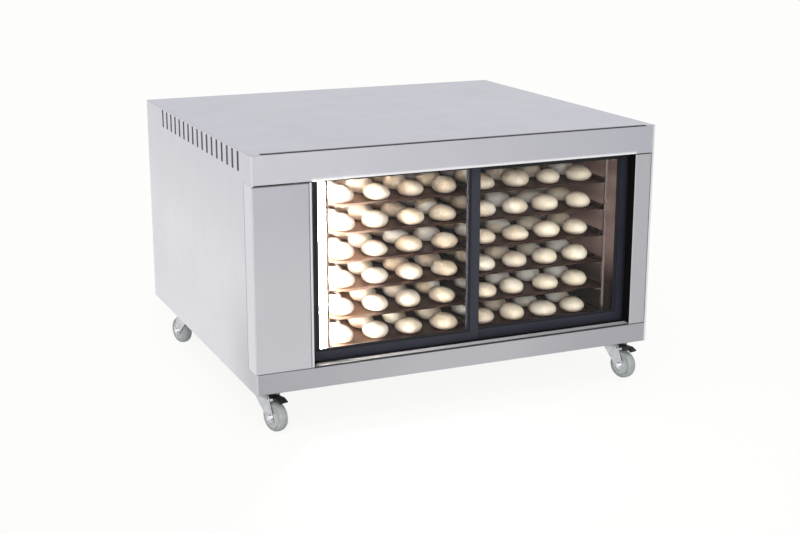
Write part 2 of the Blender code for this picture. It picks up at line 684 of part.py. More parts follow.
def air_baffle():
    """The perforated wall between the duct and the trays: a round fan intake, and slots near both ends."""
    left = DUCT_WALL_RIGHT + SEAT_GAP
    baffle = add_casing("air_baffle", at(left, WALL_FRONT, WALL_BASE),
                        at(BAFFLE_RIGHT, CHAMBER_BACK, WALL_TOP), "-X", LINER_SHEET, "liner_steel")
    sheet = BAFFLE_RIGHT - LINER_SHEET
    slots = []
    for level in range(LEVELS):
        z = LOWEST_TRAY + (level + 1 / 2) * LEVEL_PITCH
        for k in range(BAFFLE_SLOT_COLUMNS):
            reach = BAFFLE_SLOT_INSET + k * BAFFLE_SLOT_PITCH
            for y in (WALL_FRONT + reach, CHAMBER_BACK - reach - BAFFLE_SLOT_LENGTH):
                slots.append((at(sheet - OVERRUN, y, z - BAFFLE_SLOT_HEIGHT / 2),
                              at(BAFFLE_RIGHT + OVERRUN, y + BAFFLE_SLOT_LENGTH, z + BAFFLE_SLOT_HEIGHT / 2)))
    cut(baffle, block(*slots))
    intake = arc(at(0, FAN_Y, FAN_Z).yz, INTAKE_RADIUS, 0, math.tau * (1 - 1 / ROUND_STEPS), ROUND_STEPS - 1)
    cut(baffle, prism([intake], "X", LEFT + sheet - OVERRUN, LEFT + BAFFLE_RIGHT + OVERRUN))


def tray_mesh():
    """A low tray with a flared rim, lofted through rounded rectangles; its origin is its front left corner."""
    def ring(inset, z):
        corner = TRAY_CORNER - inset
        points = []
        far_x, far_y = TRAY_WIDTH - TRAY_CORNER, TRAY_LENGTH - TRAY_CORNER
        centres = ((far_x, far_y), (TRAY_CORNER, far_y), (TRAY_CORNER, TRAY_CORNER), (far_x, TRAY_CORNER))
        for quarter, centre in enumerate(centres):
            start = quarter * math.pi / 2
            points += arc(centre, corner, start, start + math.pi / 2, TRAY_CORNER_STEPS)
        return [(x, y, z) for x, y in points]
    rings = (ring(TRAY_FLARE, 0), ring(0, TRAY_RIM), ring(TRAY_SHEET, TRAY_RIM),
             ring(TRAY_FLARE + TRAY_SHEET, TRAY_SHEET))
    geometry = bmesh.new()
    loops = [[geometry.verts.new(point) for point in points] for points in rings]
    for outer, inner in zip(loops, loops[1:]):
        for k in range(len(outer)):
            geometry.faces.new((outer[k - 1], outer[k], inner[k], inner[k - 1]))
    geometry.faces.new(loops[0])
    geometry.faces.new(loops[-1])
    return finished(geometry, "tray")


def tray_heights():
    """The underside of each tray, from the top level down."""
    return [LOWEST_TRAY + (LEVELS - 1 - level) * LEVEL_PITCH for level in range(LEVELS)]


def trays():
    mesh = tray_mesh()
    for level, z in enumerate(tray_heights(), 1):
        for column, side in enumerate(("left", "right")):
            middle = RACK_LEFT + (column + 1 / 2) * RACK_PITCH
            corner = at(middle - TRAY_WIDTH / 2, TRAY_FRONT, z)
            add(f"{side}_tray_{level}", mesh.copy(), "tray_metal", location=corner)


def rack(name, x, sides):
    """Two uprights with a runner for each tray edge; sides holds -1 and 1 for runners to the left and right."""
    front = TRAY_FRONT - RUNNER_OVERHANG
    back = TRAY_FRONT + TRAY_LENGTH - RUNNER_OVERHANG
    half = UPRIGHT_WIDTH / 2
    posts = [(at(x - half, y, WALL_BASE), at(x + half, y + UPRIGHT_DEPTH, WALL_TOP))
             for y in (front, back - UPRIGHT_INSET)]
    frame = add(name, block(*posts), "liner_steel")
    for side in sides:
        profiles = []
        for z in tray_heights():
            low = z - SEAT_GAP - RUNNER_SHEET
            outer = half + RUNNER_PROUD - RUNNER_SHEET
            corners = ((outer, low + RUNNER_RISE), (outer, low), (outer + RUNNER_LEG, low),
                       (outer + RUNNER_LEG, low + RUNNER_SHEET), (outer + RUNNER_SHEET, low + RUNNER_SHEET),
                       (outer + RUNNER_SHEET, low + RUNNER_RISE))
            profiles.append([at(x + side * offset, 0, height).xz for offset, height in corners])
        join(frame, prism(profiles, "Y", FRONT + front - RUNNER_OVERHANG / 2, FRONT + back))


def racks():
    rack("left_tray_rack", RACK_LEFT, (1,))
    rack("centre_tray_rack", RACK_LEFT + RACK_PITCH, (-1, 1))
    rack("right_tray_rack", RACK_LEFT + 2 * RACK_PITCH, (-1,))


def lamp():
    """A vertical lamp with a flat back and a rounded diffuser towards the doors."""
    middle = LAMP_LEFT + LAMP_WIDTH / 2
    front = WALL_FRONT + LAMP_SETBACK
    back = front + LAMP_DEPTH
    bulge = LAMP_DEPTH - LAMP_BACK_DEPTH
    angles = [math.pi * k / LAMP_STEPS for k in range(LAMP_STEPS + 1)]
    shoulder = back - LAMP_BACK_DEPTH
    nose = [(middle - LAMP_WIDTH / 2 * math.cos(a), shoulder - bulge * math.sin(a)) for a in angles]
    outline = nose + [(LAMP_LEFT + LAMP_WIDTH, back), (LAMP_LEFT, back)]
    add("chamber_lamp", prism([[at(x, y, 0).xy for x, y in outline]], "Z", CASTOR_HEIGHT + WALL_BASE,
                              CASTOR_HEIGHT + WALL_TOP), "lamp_white")


def fan():
    """The motor on the duct wall, and the wheel that its shaft turns in the duct."""
    sheet = DUCT_WALL_RIGHT - LINER_SHEET
    face = sheet - SEAT_GAP
    back = face - MOTOR_FLANGE_SHEET - MOTOR_LENGTH
    wheel_start = DUCT_WALL_RIGHT + FAN_WALL_GAP
    wheel_end = wheel_start + FAN_DISC + FAN_BLADE_DEPTH
    shoulder = back + MOTOR_EDGE
    cap = face - OUTER_SHEET
    profile = [(0, back), (MOTOR_RADIUS - MOTOR_EDGE, back), (MOTOR_RADIUS, shoulder), (MOTOR_RADIUS, cap),
               (SHAFT_RADIUS, cap), (SHAFT_RADIUS, wheel_end), (0, wheel_end)]
    centre = at(0, FAN_Y, FAN_Z)
    motor = add("fan_motor", facing(turned(profile, ROUND_STEPS), "X"), "motor_grey", location=centre)
    half = MOTOR_FLANGE / 2
    join(motor, block(((face - MOTOR_FLANGE_SHEET, -half, -half), (face, half, half))))
    bore = SHAFT_RADIUS + SEAT_GAP
    hub = [(bore, wheel_start), (FAN_RADIUS, wheel_start), (FAN_RADIUS, wheel_start + FAN_DISC),
           (FAN_HUB_RADIUS, wheel_start + FAN_DISC), (FAN_HUB_RADIUS, wheel_end), (bore, wheel_end)]
    wheel = add("fan_wheel", facing(turned(hub, ROUND_STEPS), "X"), "liner_steel", location=centre)
    blades = []
    for k in range(FAN_BLADES):
        edges = []
        for thickness in (0, FAN_BLADE_SHEET):
            line = []
            for step in range(FAN_BLADE_STEPS + 1):
                share = step / FAN_BLADE_STEPS
                radius = FAN_BLADE_INNER + (FAN_RADIUS - MERGE - FAN_BLADE_INNER) * share
                angle = math.tau * k / FAN_BLADES + FAN_BLADE_SWEEP * share * share + thickness / radius
                line.append((radius * math.cos(angle), radius * math.sin(angle)))
            edges.append(line)
        blades.append(edges[0] + edges[1][::-1])
    join(wheel, prism(blades, "X", wheel_start + FAN_DISC / 2, wheel_end))
    return sheet


def heaters(duct_wall):
    """The ring heater round the fan and the hairpin in the evaporator pan, with tails through the duct wall."""
    holes = [(FAN_Y, FAN_Z, SHAFT_HOLE_RADIUS)]
    spread = RING_OPENING / 2
    ring_start, ring_end = math.pi / 2 + spread, math.pi / 2 - spread + math.tau
    ring = arc(at(0, FAN_Y, FAN_Z).yz, RING_HEATER_RADIUS, ring_start, ring_end, RING_STEPS)
    x = LEFT + DUCT_MIDDLE
    bent = [Vector((x, *point)) for point in ring]
    tails = [Vector((LEFT + HEATER_TAIL, *ring[end])) for end in (0, -1)]
    start = rounded([tails[0], bent[0], bent[1]], [STEAM_TUBE])[:-1]
    finish = rounded([bent[-2], bent[-1], tails[1]], [STEAM_TUBE])[1:]
    tube("air_heater", start + bent[1:-1] + finish, RING_HEATER_TUBE, "heater_steel")
    for end in (0, -1):
        y, z = ring[end][0] - FRONT, ring[end][1] - CASTOR_HEIGHT
        holes.append((y, z, RING_HEATER_TUBE + TUBE_HOLE_GAP))
    back = STEAM_FRONT + STEAM_LENGTH
    corners = [(HEATER_TAIL, STEAM_FRONT, STEAM_LEG), (DUCT_MIDDLE, STEAM_FRONT, STEAM_LEG),
               (DUCT_MIDDLE, STEAM_FRONT, STEAM_LOW), (DUCT_MIDDLE, back, STEAM_LOW),
               (DUCT_MIDDLE, back, STEAM_LEG), (HEATER_TAIL, back, STEAM_LEG)]
    bends = [HEATER_BEND] * (len(corners) - 2)
    tube("steam_heater", rounded([at(*corner) for corner in corners], bends), STEAM_TUBE, "heater_steel")
    holes += [(y, STEAM_LEG, STEAM_TUBE + TUBE_HOLE_GAP) for y in (STEAM_FRONT, back)]
    rounds = [arc(at(0, y, z).yz, radius, 0, math.tau * (1 - 1 / SMALL_ROUND_STEPS), SMALL_ROUND_STEPS - 1)
              for y, z, radius in holes]
    sheet = DUCT_WALL_RIGHT - LINER_SHEET
    cut(duct_wall, prism(rounds, "X", LEFT + sheet - OVERRUN, LEFT + DUCT_WALL_RIGHT + OVERRUN))


def service_parts(sheet):
    """Evaporator pan in the duct and control unit on the duct wall."""
    pan_high = at(PAN_LEFT + PAN_WIDTH, PAN_FRONT + PAN_LENGTH, PAN_BASE + PAN_HEIGHT)
    add_casing("evaporator_pan", at(PAN_LEFT, PAN_FRONT, PAN_BASE), pan_high, "+Z", LINER_SHEET, "liner_steel")
    back = sheet - SEAT_GAP
    low = at(back - CONTROL_DEPTH, CONTROL_FRONT, CONTROL_BASE)
    high = at(back, CONTROL_FRONT + CONTROL_LENGTH, CONTROL_BASE + CONTROL_HEIGHT)
    control = add("control_unit", block((low, high)), "motor_grey")
    soften(control, CONTROL_BEVEL)


def connections():
    """The gland for the mains lead and the threaded water inlet, under the rear left of the base."""
    def nut(radius, height):
        return prism([arc((0, 0), radius, 0, math.tau * (1 - 1 / HEXAGON), HEXAGON - 1)], "Z", -height, 0)
    place = at(GLAND_X, DEPTH - CONNECTIONS_SETBACK, -SEAT_GAP)
    shoulder = GLAND_HEIGHT - GLAND_DOME + GLAND_BORE
    dome = [(GLAND_BORE, -GLAND_NUT_HEIGHT / 2), (GLAND_DOME, -GLAND_NUT_HEIGHT / 2), (GLAND_DOME, -shoulder),
            (GLAND_BORE, -GLAND_HEIGHT)]
    gland = add("cable_gland", nut(GLAND_NUT, GLAND_NUT_HEIGHT), "dark_plastic", location=place)
    join(gland, turned(dome, SMALL_ROUND_STEPS))
    cut(gland, turned([(0, OVERRUN), (GLAND_BORE, OVERRUN), (GLAND_BORE, -GLAND_HEIGHT - OVERRUN),
                       (0, -GLAND_HEIGHT - OVERRUN)], SMALL_ROUND_STEPS))
    place = at(INLET_X, DEPTH - CONNECTIONS_SETBACK, -SEAT_GAP)
    length = INLET_NUT_HEIGHT + INLET_RIBS * INLET_PITCH
    stub = [(INLET_BORE, -INLET_NUT_HEIGHT / 2), (INLET_RADIUS, -INLET_NUT_HEIGHT / 2)]
    for k in range(INLET_RIBS):
        z = -INLET_NUT_HEIGHT - k * INLET_PITCH
        stub += [(INLET_RADIUS, z), (INLET_RADIUS - INLET_GROOVE, z - INLET_PITCH / 2)]
    stub += [(INLET_RADIUS, -length), (INLET_BORE, -length)]
    inlet = add("water_inlet", nut(INLET_NUT, INLET_NUT_HEIGHT), "brass", location=place)
    join(inlet, turned(stub, SMALL_ROUND_STEPS))
    cut(inlet, turned([(0, OVERRUN), (INLET_BORE, OVERRUN), (INLET_BORE, -length - OVERRUN),
                       (0, -length - OVERRUN)], SMALL_ROUND_STEPS))


def castor_plate(name, place):
    """The bolted top plate with the bearing cup that the fork turns in."""
    half_x, half_y = PLATE_WIDTH / 2, PLATE_LENGTH / 2
    inner_x, inner_y = half_x - PLATE_CORNER, half_y - PLATE_CORNER
    outline = []
    centres = ((inner_x, inner_y), (-inner_x, inner_y), (-inner_x, -inner_y), (inner_x, -inner_y))
    for quarter, centre in enumerate(centres):
        start = quarter * math.pi / 2
        outline += arc(centre, PLATE_CORNER, start, start + math.pi / 2, TRAY_CORNER_STEPS)
    plate = add(name, prism([outline], "Z", -PLATE_SHEET, 0), "zinc", location=place)
    cup = [(CUP_BORE, -PLATE_SHEET + CUP_OVERLAP), (CUP_RADIUS, -PLATE_SHEET + CUP_OVERLAP),
           (CUP_RADIUS, -PLATE_SHEET - CUP_DEPTH / 2), (CUP_LOW_RADIUS, -PLATE_SHEET - CUP_DEPTH),
           (CUP_BORE, -PLATE_SHEET - CUP_DEPTH)]
    join(plate, turned(cup, ROUND_STEPS))
    bolts = [arc((x, y), PLATE_BOLT_RADIUS, 0, math.tau * (1 - 1 / SMALL_ROUND_STEPS), SMALL_ROUND_STEPS - 1)
             for x in (-PLATE_BOLT_X, PLATE_BOLT_X) for y in (-PLATE_BOLT_Y, PLATE_BOLT_Y)]
    cut(plate, prism(bolts, "Z", -PLATE_SHEET - OVERRUN, OVERRUN))


def castor_fork(name, swivel, with_brake):
    """The fork with its king pin and axle, made about the swivel axis with the wheel behind it along -Y."""
    top = FORK_TOP
    boss = (TRAIL, WHEEL_CENTRE)
    lower = arc(boss, FORK_BOSS, math.pi * 7 / 6, math.tau + math.pi / 12, FORK_BOSS_STEPS)
    outline = [(-FORK_BACK, top), (-FORK_BACK, top - FORK_SKIRT), *lower, (FORK_FRONT, top - FORK_SKIRT),
               (FORK_FRONT, top)]
    inner = WHEEL_WIDTH / 2 + FORK_CLEARANCE
    outer = inner + FORK_LEG
    fork = add(name, prism([[(-reach, z) for reach, z in outline]], "X", -outer, outer), "zinc", parent=swivel)
    crown = top - FORK_CROWN
    cut(fork, block(((-inner, -TRAIL - FORK_FRONT, 0), (inner, FORK_BACK + OVERRUN, crown))))
    pin_top = top + KINGPIN_RISE
    pin_base = crown + FORK_CROWN / 2
    pin = [(0, pin_base), (KINGPIN_RADIUS, pin_base), (KINGPIN_RADIUS, pin_top), (0, pin_top)]
    join(fork, turned(pin, ROUND_STEPS))
    head = outer + AXLE_HEAD_HEIGHT
    axle = facing(turned([(0, -head), (AXLE_HEAD, -head), (AXLE_HEAD, -outer + FORK_LEG / 2),
                          (AXLE_RADIUS, -outer + FORK_LEG / 2), (AXLE_RADIUS, outer - FORK_LEG / 2),
                          (AXLE_HEAD, outer - FORK_LEG / 2), (AXLE_HEAD, head), (0, head)],
                         SMALL_ROUND_STEPS), "X")
    axle.transform(Matrix.Translation((0, -TRAIL, WHEEL_CENTRE)))
    join(fork, axle)
    if with_brake:
        hole = arc((-PEDAL_PIVOT_REACH, PEDAL_PIVOT_HEIGHT), PEDAL_PIN + PEDAL_PIN_GAP, 0,
                   math.tau * (1 - 1 / PEDAL_STEPS), PEDAL_STEPS - 1)
        cut(fork, prism([hole], "X", -outer - OVERRUN, outer + OVERRUN))


def wheel_mesh():
    """A solid tyre on a hub, turned about the axle."""
    half = WHEEL_WIDTH / 2
    bore = AXLE_RADIUS + AXLE_GAP
    dish = half - WHEEL_RIM_DEPTH
    side = [(bore, half), (WHEEL_HUB, half), (WHEEL_HUB, dish), (WHEEL_RIM, dish), (WHEEL_RIM, half),
            (WHEEL_RADIUS - WHEEL_SHOULDER, half), (WHEEL_RADIUS, half - WHEEL_SHOULDER)]
    profile = side + [(radius, -height) for radius, height in reversed(side)]
    mesh = turned(profile, WHEEL_STEPS)
    mesh.transform(Matrix.Rotation(math.pi / WHEEL_STEPS, 4, "Z"))
    return facing(mesh, "X")


def brake_pedal(name, swivel):
    """A lever on a cross pin between the fork's legs; its shoe comes down on the tyre."""
    arm = [(-PEDAL_BARREL, 0), (PEDAL_REACH - PEDAL_TIP, 0), (PEDAL_REACH, -PEDAL_TIP_LIFT),
           (PEDAL_REACH, PEDAL_ARM - PEDAL_TIP_LIFT), (PEDAL_REACH - PEDAL_TIP, PEDAL_BARREL),
           (0, PEDAL_BARREL)]
    shoe_back = PEDAL_SHOE_REACH - PEDAL_SHOE_LENGTH
    top, bottom = PEDAL_ARM / 2, -PEDAL_SHOE_DROP
    shoe = [(shoe_back, top), (shoe_back, bottom), (PEDAL_SHOE_REACH, bottom), (PEDAL_SHOE_REACH, top)]
    pivot = (0, -PEDAL_PIVOT_REACH, PEDAL_PIVOT_HEIGHT)
    half = PEDAL_HALF_WIDTH
    pedal = add(name, prism([[(-reach, z) for reach, z in arm]], "X", -half, half), "dark_plastic",
                location=pivot, parent=swivel)
    join(pedal, prism([[(-reach, z) for reach, z in shoe]], "X", -half / 2, half / 2))
    inner = WHEEL_WIDTH / 2 + FORK_CLEARANCE
    pin = inner + FORK_LEG
    barrel = turned([(0, -pin), (PEDAL_PIN, -pin), (PEDAL_PIN, -half), (PEDAL_BARREL, -half),
                     (PEDAL_BARREL, half), (PEDAL_PIN, half), (PEDAL_PIN, pin), (0, pin)], PEDAL_STEPS)
    join(pedal, facing(barrel, "X"))


def castor(name, x, y, heading, with_brake):
    """One castor; heading turns the trailing wheel from the front, anticlockwise from above."""
    place = at(x, y, -SEAT_GAP)
    castor_plate(name + "_plate", place)
    swivel = bpy.data.objects.new(name + "_swivel_axis", None)
    bpy.context.collection.objects.link(swivel)
    swivel.location = (place.x, place.y, 0)
    swivel.rotation_euler.z = heading
    castor_fork(name + "_fork", swivel, with_brake)
    add(name + "_wheel", wheel_mesh(), "grey_rubber", location=(0, -TRAIL, WHEEL_CENTRE), parent=swivel)
    if with_brake:
        brake_pedal(name + "_brake_pedal", swivel)


def castors():
    right = WIDTH - CASTOR_INSET
    back = DEPTH - REAR_CASTOR_SETBACK
    castor("front_left_castor", CASTOR_INSET, FRONT_CASTOR_SETBACK, FRONT_LEFT_HEADING, True)
    castor("front_right_castor", right, FRONT_CASTOR_SETBACK, FRONT_RIGHT_HEADING, True)
    castor("rear_left_castor", CASTOR_INSET, back, REAR_LEFT_HEADING, False)
    castor("rear_right_castor", right, back, REAR_RIGHT_HEADING, False)


def main():
    clear_scene()
    base_pan()
    side_panels()
    back_panel()
    top_panel()
    fascia()
    front_uprights()
    sill()
    tracks()
    doors()
    duct_wall = chamber()
    air_baffle()
    trays()
    racks()
    lamp()
    sheet = fan()
    heaters(duct_wall)
    service_parts(sheet)
    connections()
    castors()


main()
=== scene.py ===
"""Looks of the proofing cabinet: finishes, dough, seals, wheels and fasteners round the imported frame."""
import json
import math
import random

import bmesh
import bpy
from mathutils import Matrix, Vector, noise


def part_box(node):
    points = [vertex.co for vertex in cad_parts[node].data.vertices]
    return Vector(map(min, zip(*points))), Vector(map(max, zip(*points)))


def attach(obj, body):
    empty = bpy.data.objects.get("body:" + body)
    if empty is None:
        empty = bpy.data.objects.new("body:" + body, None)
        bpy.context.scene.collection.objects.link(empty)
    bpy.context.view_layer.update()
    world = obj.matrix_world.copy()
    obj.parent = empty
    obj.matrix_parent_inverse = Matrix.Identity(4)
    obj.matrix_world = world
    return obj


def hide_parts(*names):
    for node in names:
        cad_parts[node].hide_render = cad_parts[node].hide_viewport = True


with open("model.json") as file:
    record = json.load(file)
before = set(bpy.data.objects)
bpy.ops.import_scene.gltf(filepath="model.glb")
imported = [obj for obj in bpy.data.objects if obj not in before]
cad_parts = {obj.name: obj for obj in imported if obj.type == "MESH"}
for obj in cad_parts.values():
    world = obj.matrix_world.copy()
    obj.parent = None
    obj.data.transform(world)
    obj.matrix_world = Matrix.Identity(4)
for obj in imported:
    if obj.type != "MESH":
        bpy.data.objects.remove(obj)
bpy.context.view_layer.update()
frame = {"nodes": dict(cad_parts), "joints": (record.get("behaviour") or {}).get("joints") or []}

CORNERS = ("front_left", "front_right", "rear_left", "rear_right")
SIDES = ("left", "right")
LEVELS = range(1, 7)

# Small gap between a piece of the scene and what it sits on
SEAT = 0.0001

# Camera of the photograph, in metres, degrees and millimetres
CAMERA_PLACE = (-1.6060, -3.7631, 1.3579)
CAMERA_TURN = (75.119, 0.0, -23.646)
CAMERA_LENS = 64.34
CAMERA_SENSOR = 36.0
CAMERA_REACH = 200.0

# Suns: the way towards each, its strength and its width in degrees
SUNS = {"key": ((-0.35, -0.55, 1.0), 0.85, 38.0), "front": ((-0.45, -1.0, 0.30), 2.2, 52.0)}

# White floor: its half width, how far it lies below the wheels, its paper and the glow that is seen on it
FLOOR_REACH = 30.0
FLOOR_DROP = 0.0002
FLOOR_PAPER = (0.75, 0.75, 0.735)
FLOOR_GLOW = (1.0, 1.0, 0.983)
GLOW_SHARE = 0.90

# Surround: the light it casts and the tone that is seen; sheets mirror it greyer where slant * X + Y is low
SURROUND_LIGHT = 0.72
SURROUND_TINT = (0.984, 0.984, 0.967)
SURROUND_SLANT = -1.6
SURROUND_TONES = {"low": -1.85, "high": -1.15, "start": 0.58, "end": 1.0}

# Chamber lamp
LAMP_STRENGTH = 400.0
LAMP_GLOW = (1.0, 0.95, 0.86)

# Dough rolls on a tray
ROLL_COLUMNS = 4
ROLL_ROWS = 8
ROLL_PITCH = 0.098
ROLL_WIDTH = 0.0705
ROLL_LENGTH = 0.085
ROLL_HEIGHT = 0.0410
ROLL_SEGMENTS = 18
TRAY_SHEET = 0.0015
TRAY_WALL = 0.0075
# Height and reach of a roll's rings, as shares of its height and half width
ROLL_RINGS = ((0.0, 0.44), (0.045, 0.65), (0.13, 0.83), (0.26, 0.95), (0.42, 1.0), (0.57, 0.966),
              (0.71, 0.87), (0.84, 0.69), (0.945, 0.42))
# Depth and scale of a roll's uneven swells, with their share of its seed; rings up to a rise stay level
ROLL_SWELLS = ((0.07, 1.2, 1), (0.02, 3.2, 2))
ROLL_LEVEL_RISE = 0.3
ROLL_TIP = 1.01
# The most of a row's pitch that a roll takes, and how its size, place, turn and swells vary
ROLL_FILL = 0.94
WIDTH_RANGE = (0.92, 1.06)
LENGTH_RANGE = (0.93, 1.05)
HEIGHT_RANGE = (0.93, 1.07)
SHIFT_ACROSS = (-0.005, 0.005)
SHIFT_ALONG = (-0.003, 0.003)
TURN_RANGE = (-0.2, 0.2)
SWELL_RANGE = (0, 50)
DOUGH_SEED = 11

# Glazing seal: reach past the window's edge and depth behind the frame's front face, round its section
GLASS_REBATE = 0.006
GLASS_DEPTH = 0.002
SEAL_SECTION = ((-0.0016, GLASS_DEPTH - SEAT), (-0.0018, 0.0013), (-0.0010, 0.0006), (0.0004, 0.0002),
                (0.0048, 0.0002), (0.0057, 0.0006), (0.0059, 0.0014), (0.0002, 0.0014),
                (-0.0002, GLASS_DEPTH - SEAT))
# How much wider the seal's lip is at a pane's left edge and at each door's top; the widening is painted
# shade, a black band where shade falls by the stiles and under the fascia
LEFT_LIP = 3.2
TOP_LIPS = {"left": 1.0, "right": 5.5}

# A strip narrows over this length at each end, to a share of its section
STRIP_CHAMFER = 0.0008
STRIP_END = 0.96

# Ribbed buffers beside the doors: clearance at their ends, from the post's front and before the doors
BUFFER_END_GAP = 0.0003
BUFFER_FRONT_GAP = 0.0012
BUFFER_DOOR_GAP = 0.0032
BUFFER_RIBS = {"count": 6, "groove": 0.0009, "crest": 0.0015, "foot": 0.0004, "shoulder": 0.0012}

# Pile on the left door: its inset from the stile's edge, what it leaves free below and above, its section
PILE_INSET = 0.010
PILE_FREE = (0.006, 0.024)
PILE_SECTION = ((0, SEAT), (-0.007, SEAT), (-0.007, 0.0006), (-0.0052, 0.0007), (-0.0046, 0.0017),
                (-0.0024, 0.0017), (-0.0018, 0.0007), (0, 0.0006))

# Black strips of the sill, put there as painted shade: the ribbed one is placed from its rear edge, the gap
# strip from its front edge
SILL_END_GAP = 0.0008
SILL_SHADE_STRIP = (0.0125, 0.0006)
SILL_RIBS = {"count": 4, "groove": 0.0008, "crest": 0.0014, "foot": 0.0003, "shoulder": 0.0009}
GAP_STRIP_BACK = 0.0060
GAP_STRIP_FACE = 0.0022
GAP_STRIP_NOSE = 0.0016
GAP_STRIP_TOP = 0.0016

# Pleated filter: span from the side panel's front edge, depths behind its face, and drop below its top
FILTER_SPAN = (0.092, 0.846)
FILTER_BACK = 0.0052
FILTER_VALLEY = 0.0042
FILTER_CREST = 0.0024
FILTER_DROP = (0.058, 0.0026)
FILTER_PLEATS = 150

# Lamp holders: rim past the lamp, corner radius, length, and a chamfer at their inner end
HOLDER_RIM = 0.0009
HOLDER_CORNER = 0.004
HOLDER_LENGTH = 0.014
HOLDER_STRAIGHT = 0.88
HOLDER_CHAMFER = 0.0008
HOLDER_STEPS = 4

# Fan guard: radius and height above the baffle of its rings, and of the points along its spokes
GUARD_WIRE = 0.0009
GUARD_WIRE_STEPS = 8
GUARD_STEPS = 48
GUARD_SPOKES = 8
GUARD_RINGS = ((0.014, 0.0095), (0.025, 0.0090), (0.036, 0.0078), (0.047, 0.0058), (0.058, 0.0028))
SPOKE_POINTS = ((0.013, 0.0082), (0.025, 0.0076), (0.036, 0.0064), (0.047, 0.0044), (0.060, 0.0012))

# Wheels: the bead's points lie out from the hub, the shoulder's in from the tread and the hub face's at a
# radius, each with its depth in from the wheel's side
TYRE_WIDTH = 0.030
HUB_RADIUS = 0.0275
AXLE_BORE = 0.0054
WHEEL_STEPS = 72
TYRE_BEAD = ((0, 0.0030), (0.0008, 0.0014), (0.0030, 0.0010))
TYRE_SHOULDER = ((0.0065, 0.0012), (0.0036, 0.0030), (0.0014, 0.0062), (0.0003, 0.0105))
HUB_FACE = ((AXLE_BORE, 0), (0.0105, 0), (0.0118, 0.0012), (0.0125, 0.0050), (0.0225, 0.0056),
            (0.0240, 0.0024), (HUB_RADIUS - 0.0003, 0.0018))

# Castor fastenings: where an axle nut sits from the wheel's middle, and the bolts in the plates
AXLE_NUT_PLACE = 0.0187
AXLE_NUT = {"across": 0.013, "height": 0.0050, "washer": 0.0088}
PLATE_BOLT_X = 0.030
PLATE_BOLT_Y = 0.038
PLATE_SHEET = 0.003
PLATE_BOLT = {"across": 0.012, "height": 0.0055, "washer": 0.0078}
# A hexagon head's washer, chamfer and crown, as shares of its height and width
HEAD_WASHER = 0.2
HEAD_CHAMFER = 0.86
HEAD_CROWN = 0.97
HEAD_STEPS = 24

# How much finer a brushed sheet's grain is across than along it
GRAIN_STRETCH = 90

# Edges at which a sheet's painted light and shade change; the top's front edge is set back between two tabs
TOP_SETBACK = 0.0100
TOP_TAB = 0.025
TOP_LOW, TOP_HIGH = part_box("top_panel")
TOP_FRONT = TOP_LOW.y + TOP_SETBACK
TOP_LEFT = TOP_LOW.x + TOP_TAB
TOP_RIGHT = TOP_HIGH.x - TOP_TAB
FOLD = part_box("front_fascia")[0].z
COVER_LOW, COVER_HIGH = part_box("service_cover")
RETURN = COVER_LOW.x
RETURN_END = COVER_HIGH.y
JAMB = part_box("left_jamb")[1].x
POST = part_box("right_post")[0].x
SILL_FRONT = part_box("door_sill")[0].y
BASE_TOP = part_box("base_pan")[1].z
LEFT_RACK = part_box("left_tray_rack")[1].x
DOUGH_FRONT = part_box("left_tray_1")[0].y


class Nodes:
    """Adds shader nodes to a tree one by one."""

    def __init__(self, tree):
        self.tree = tree

    def node(self, kind, inputs=None, **properties):
        made = self.tree.nodes.new("ShaderNode" + kind)
        for name, value in properties.items():
            setattr(made, name, value)
        for socket, value in (inputs or {}).items():
            self.feed(made.inputs[socket], value)
        return made

    def feed(self, socket, value):
        if isinstance(value, bpy.types.NodeSocket):
            self.tree.links.new(value, socket)
        elif socket.type == "RGBA" and len(value) == 3:
            socket.default_value = (*value, 1.0)
        else:
            socket.default_value = value

    def range(self, value, low, high, start=0, end=1):
        """Goes from start to end as a value goes from low to high."""
        return self.node("MapRange", {"Value": value, "From Min": low, "From Max": high, "To Min": start,
                                      "To Max": end}).outputs[0]

    def calc(self, operation, *values):
        return self.node("Math", dict(enumerate(values)), operation=operation).outputs[0]

    def blend(self, share, first, second):
        """Two shaders, with the second one's share."""
        return self.node("MixShader", {0: share, 1: first, 2: second}).outputs[0]

    def seen(self):
        """1 for what the camera, reflections and glass see, and 0 for light that falls on the cabinet."""
        path = self.node("LightPath").outputs
        direct = self.calc("MAXIMUM", path["Is Camera Ray"], path["Is Glossy Ray"])
        return self.calc("MAXIMUM", direct, path["Is Transmission Ray"])


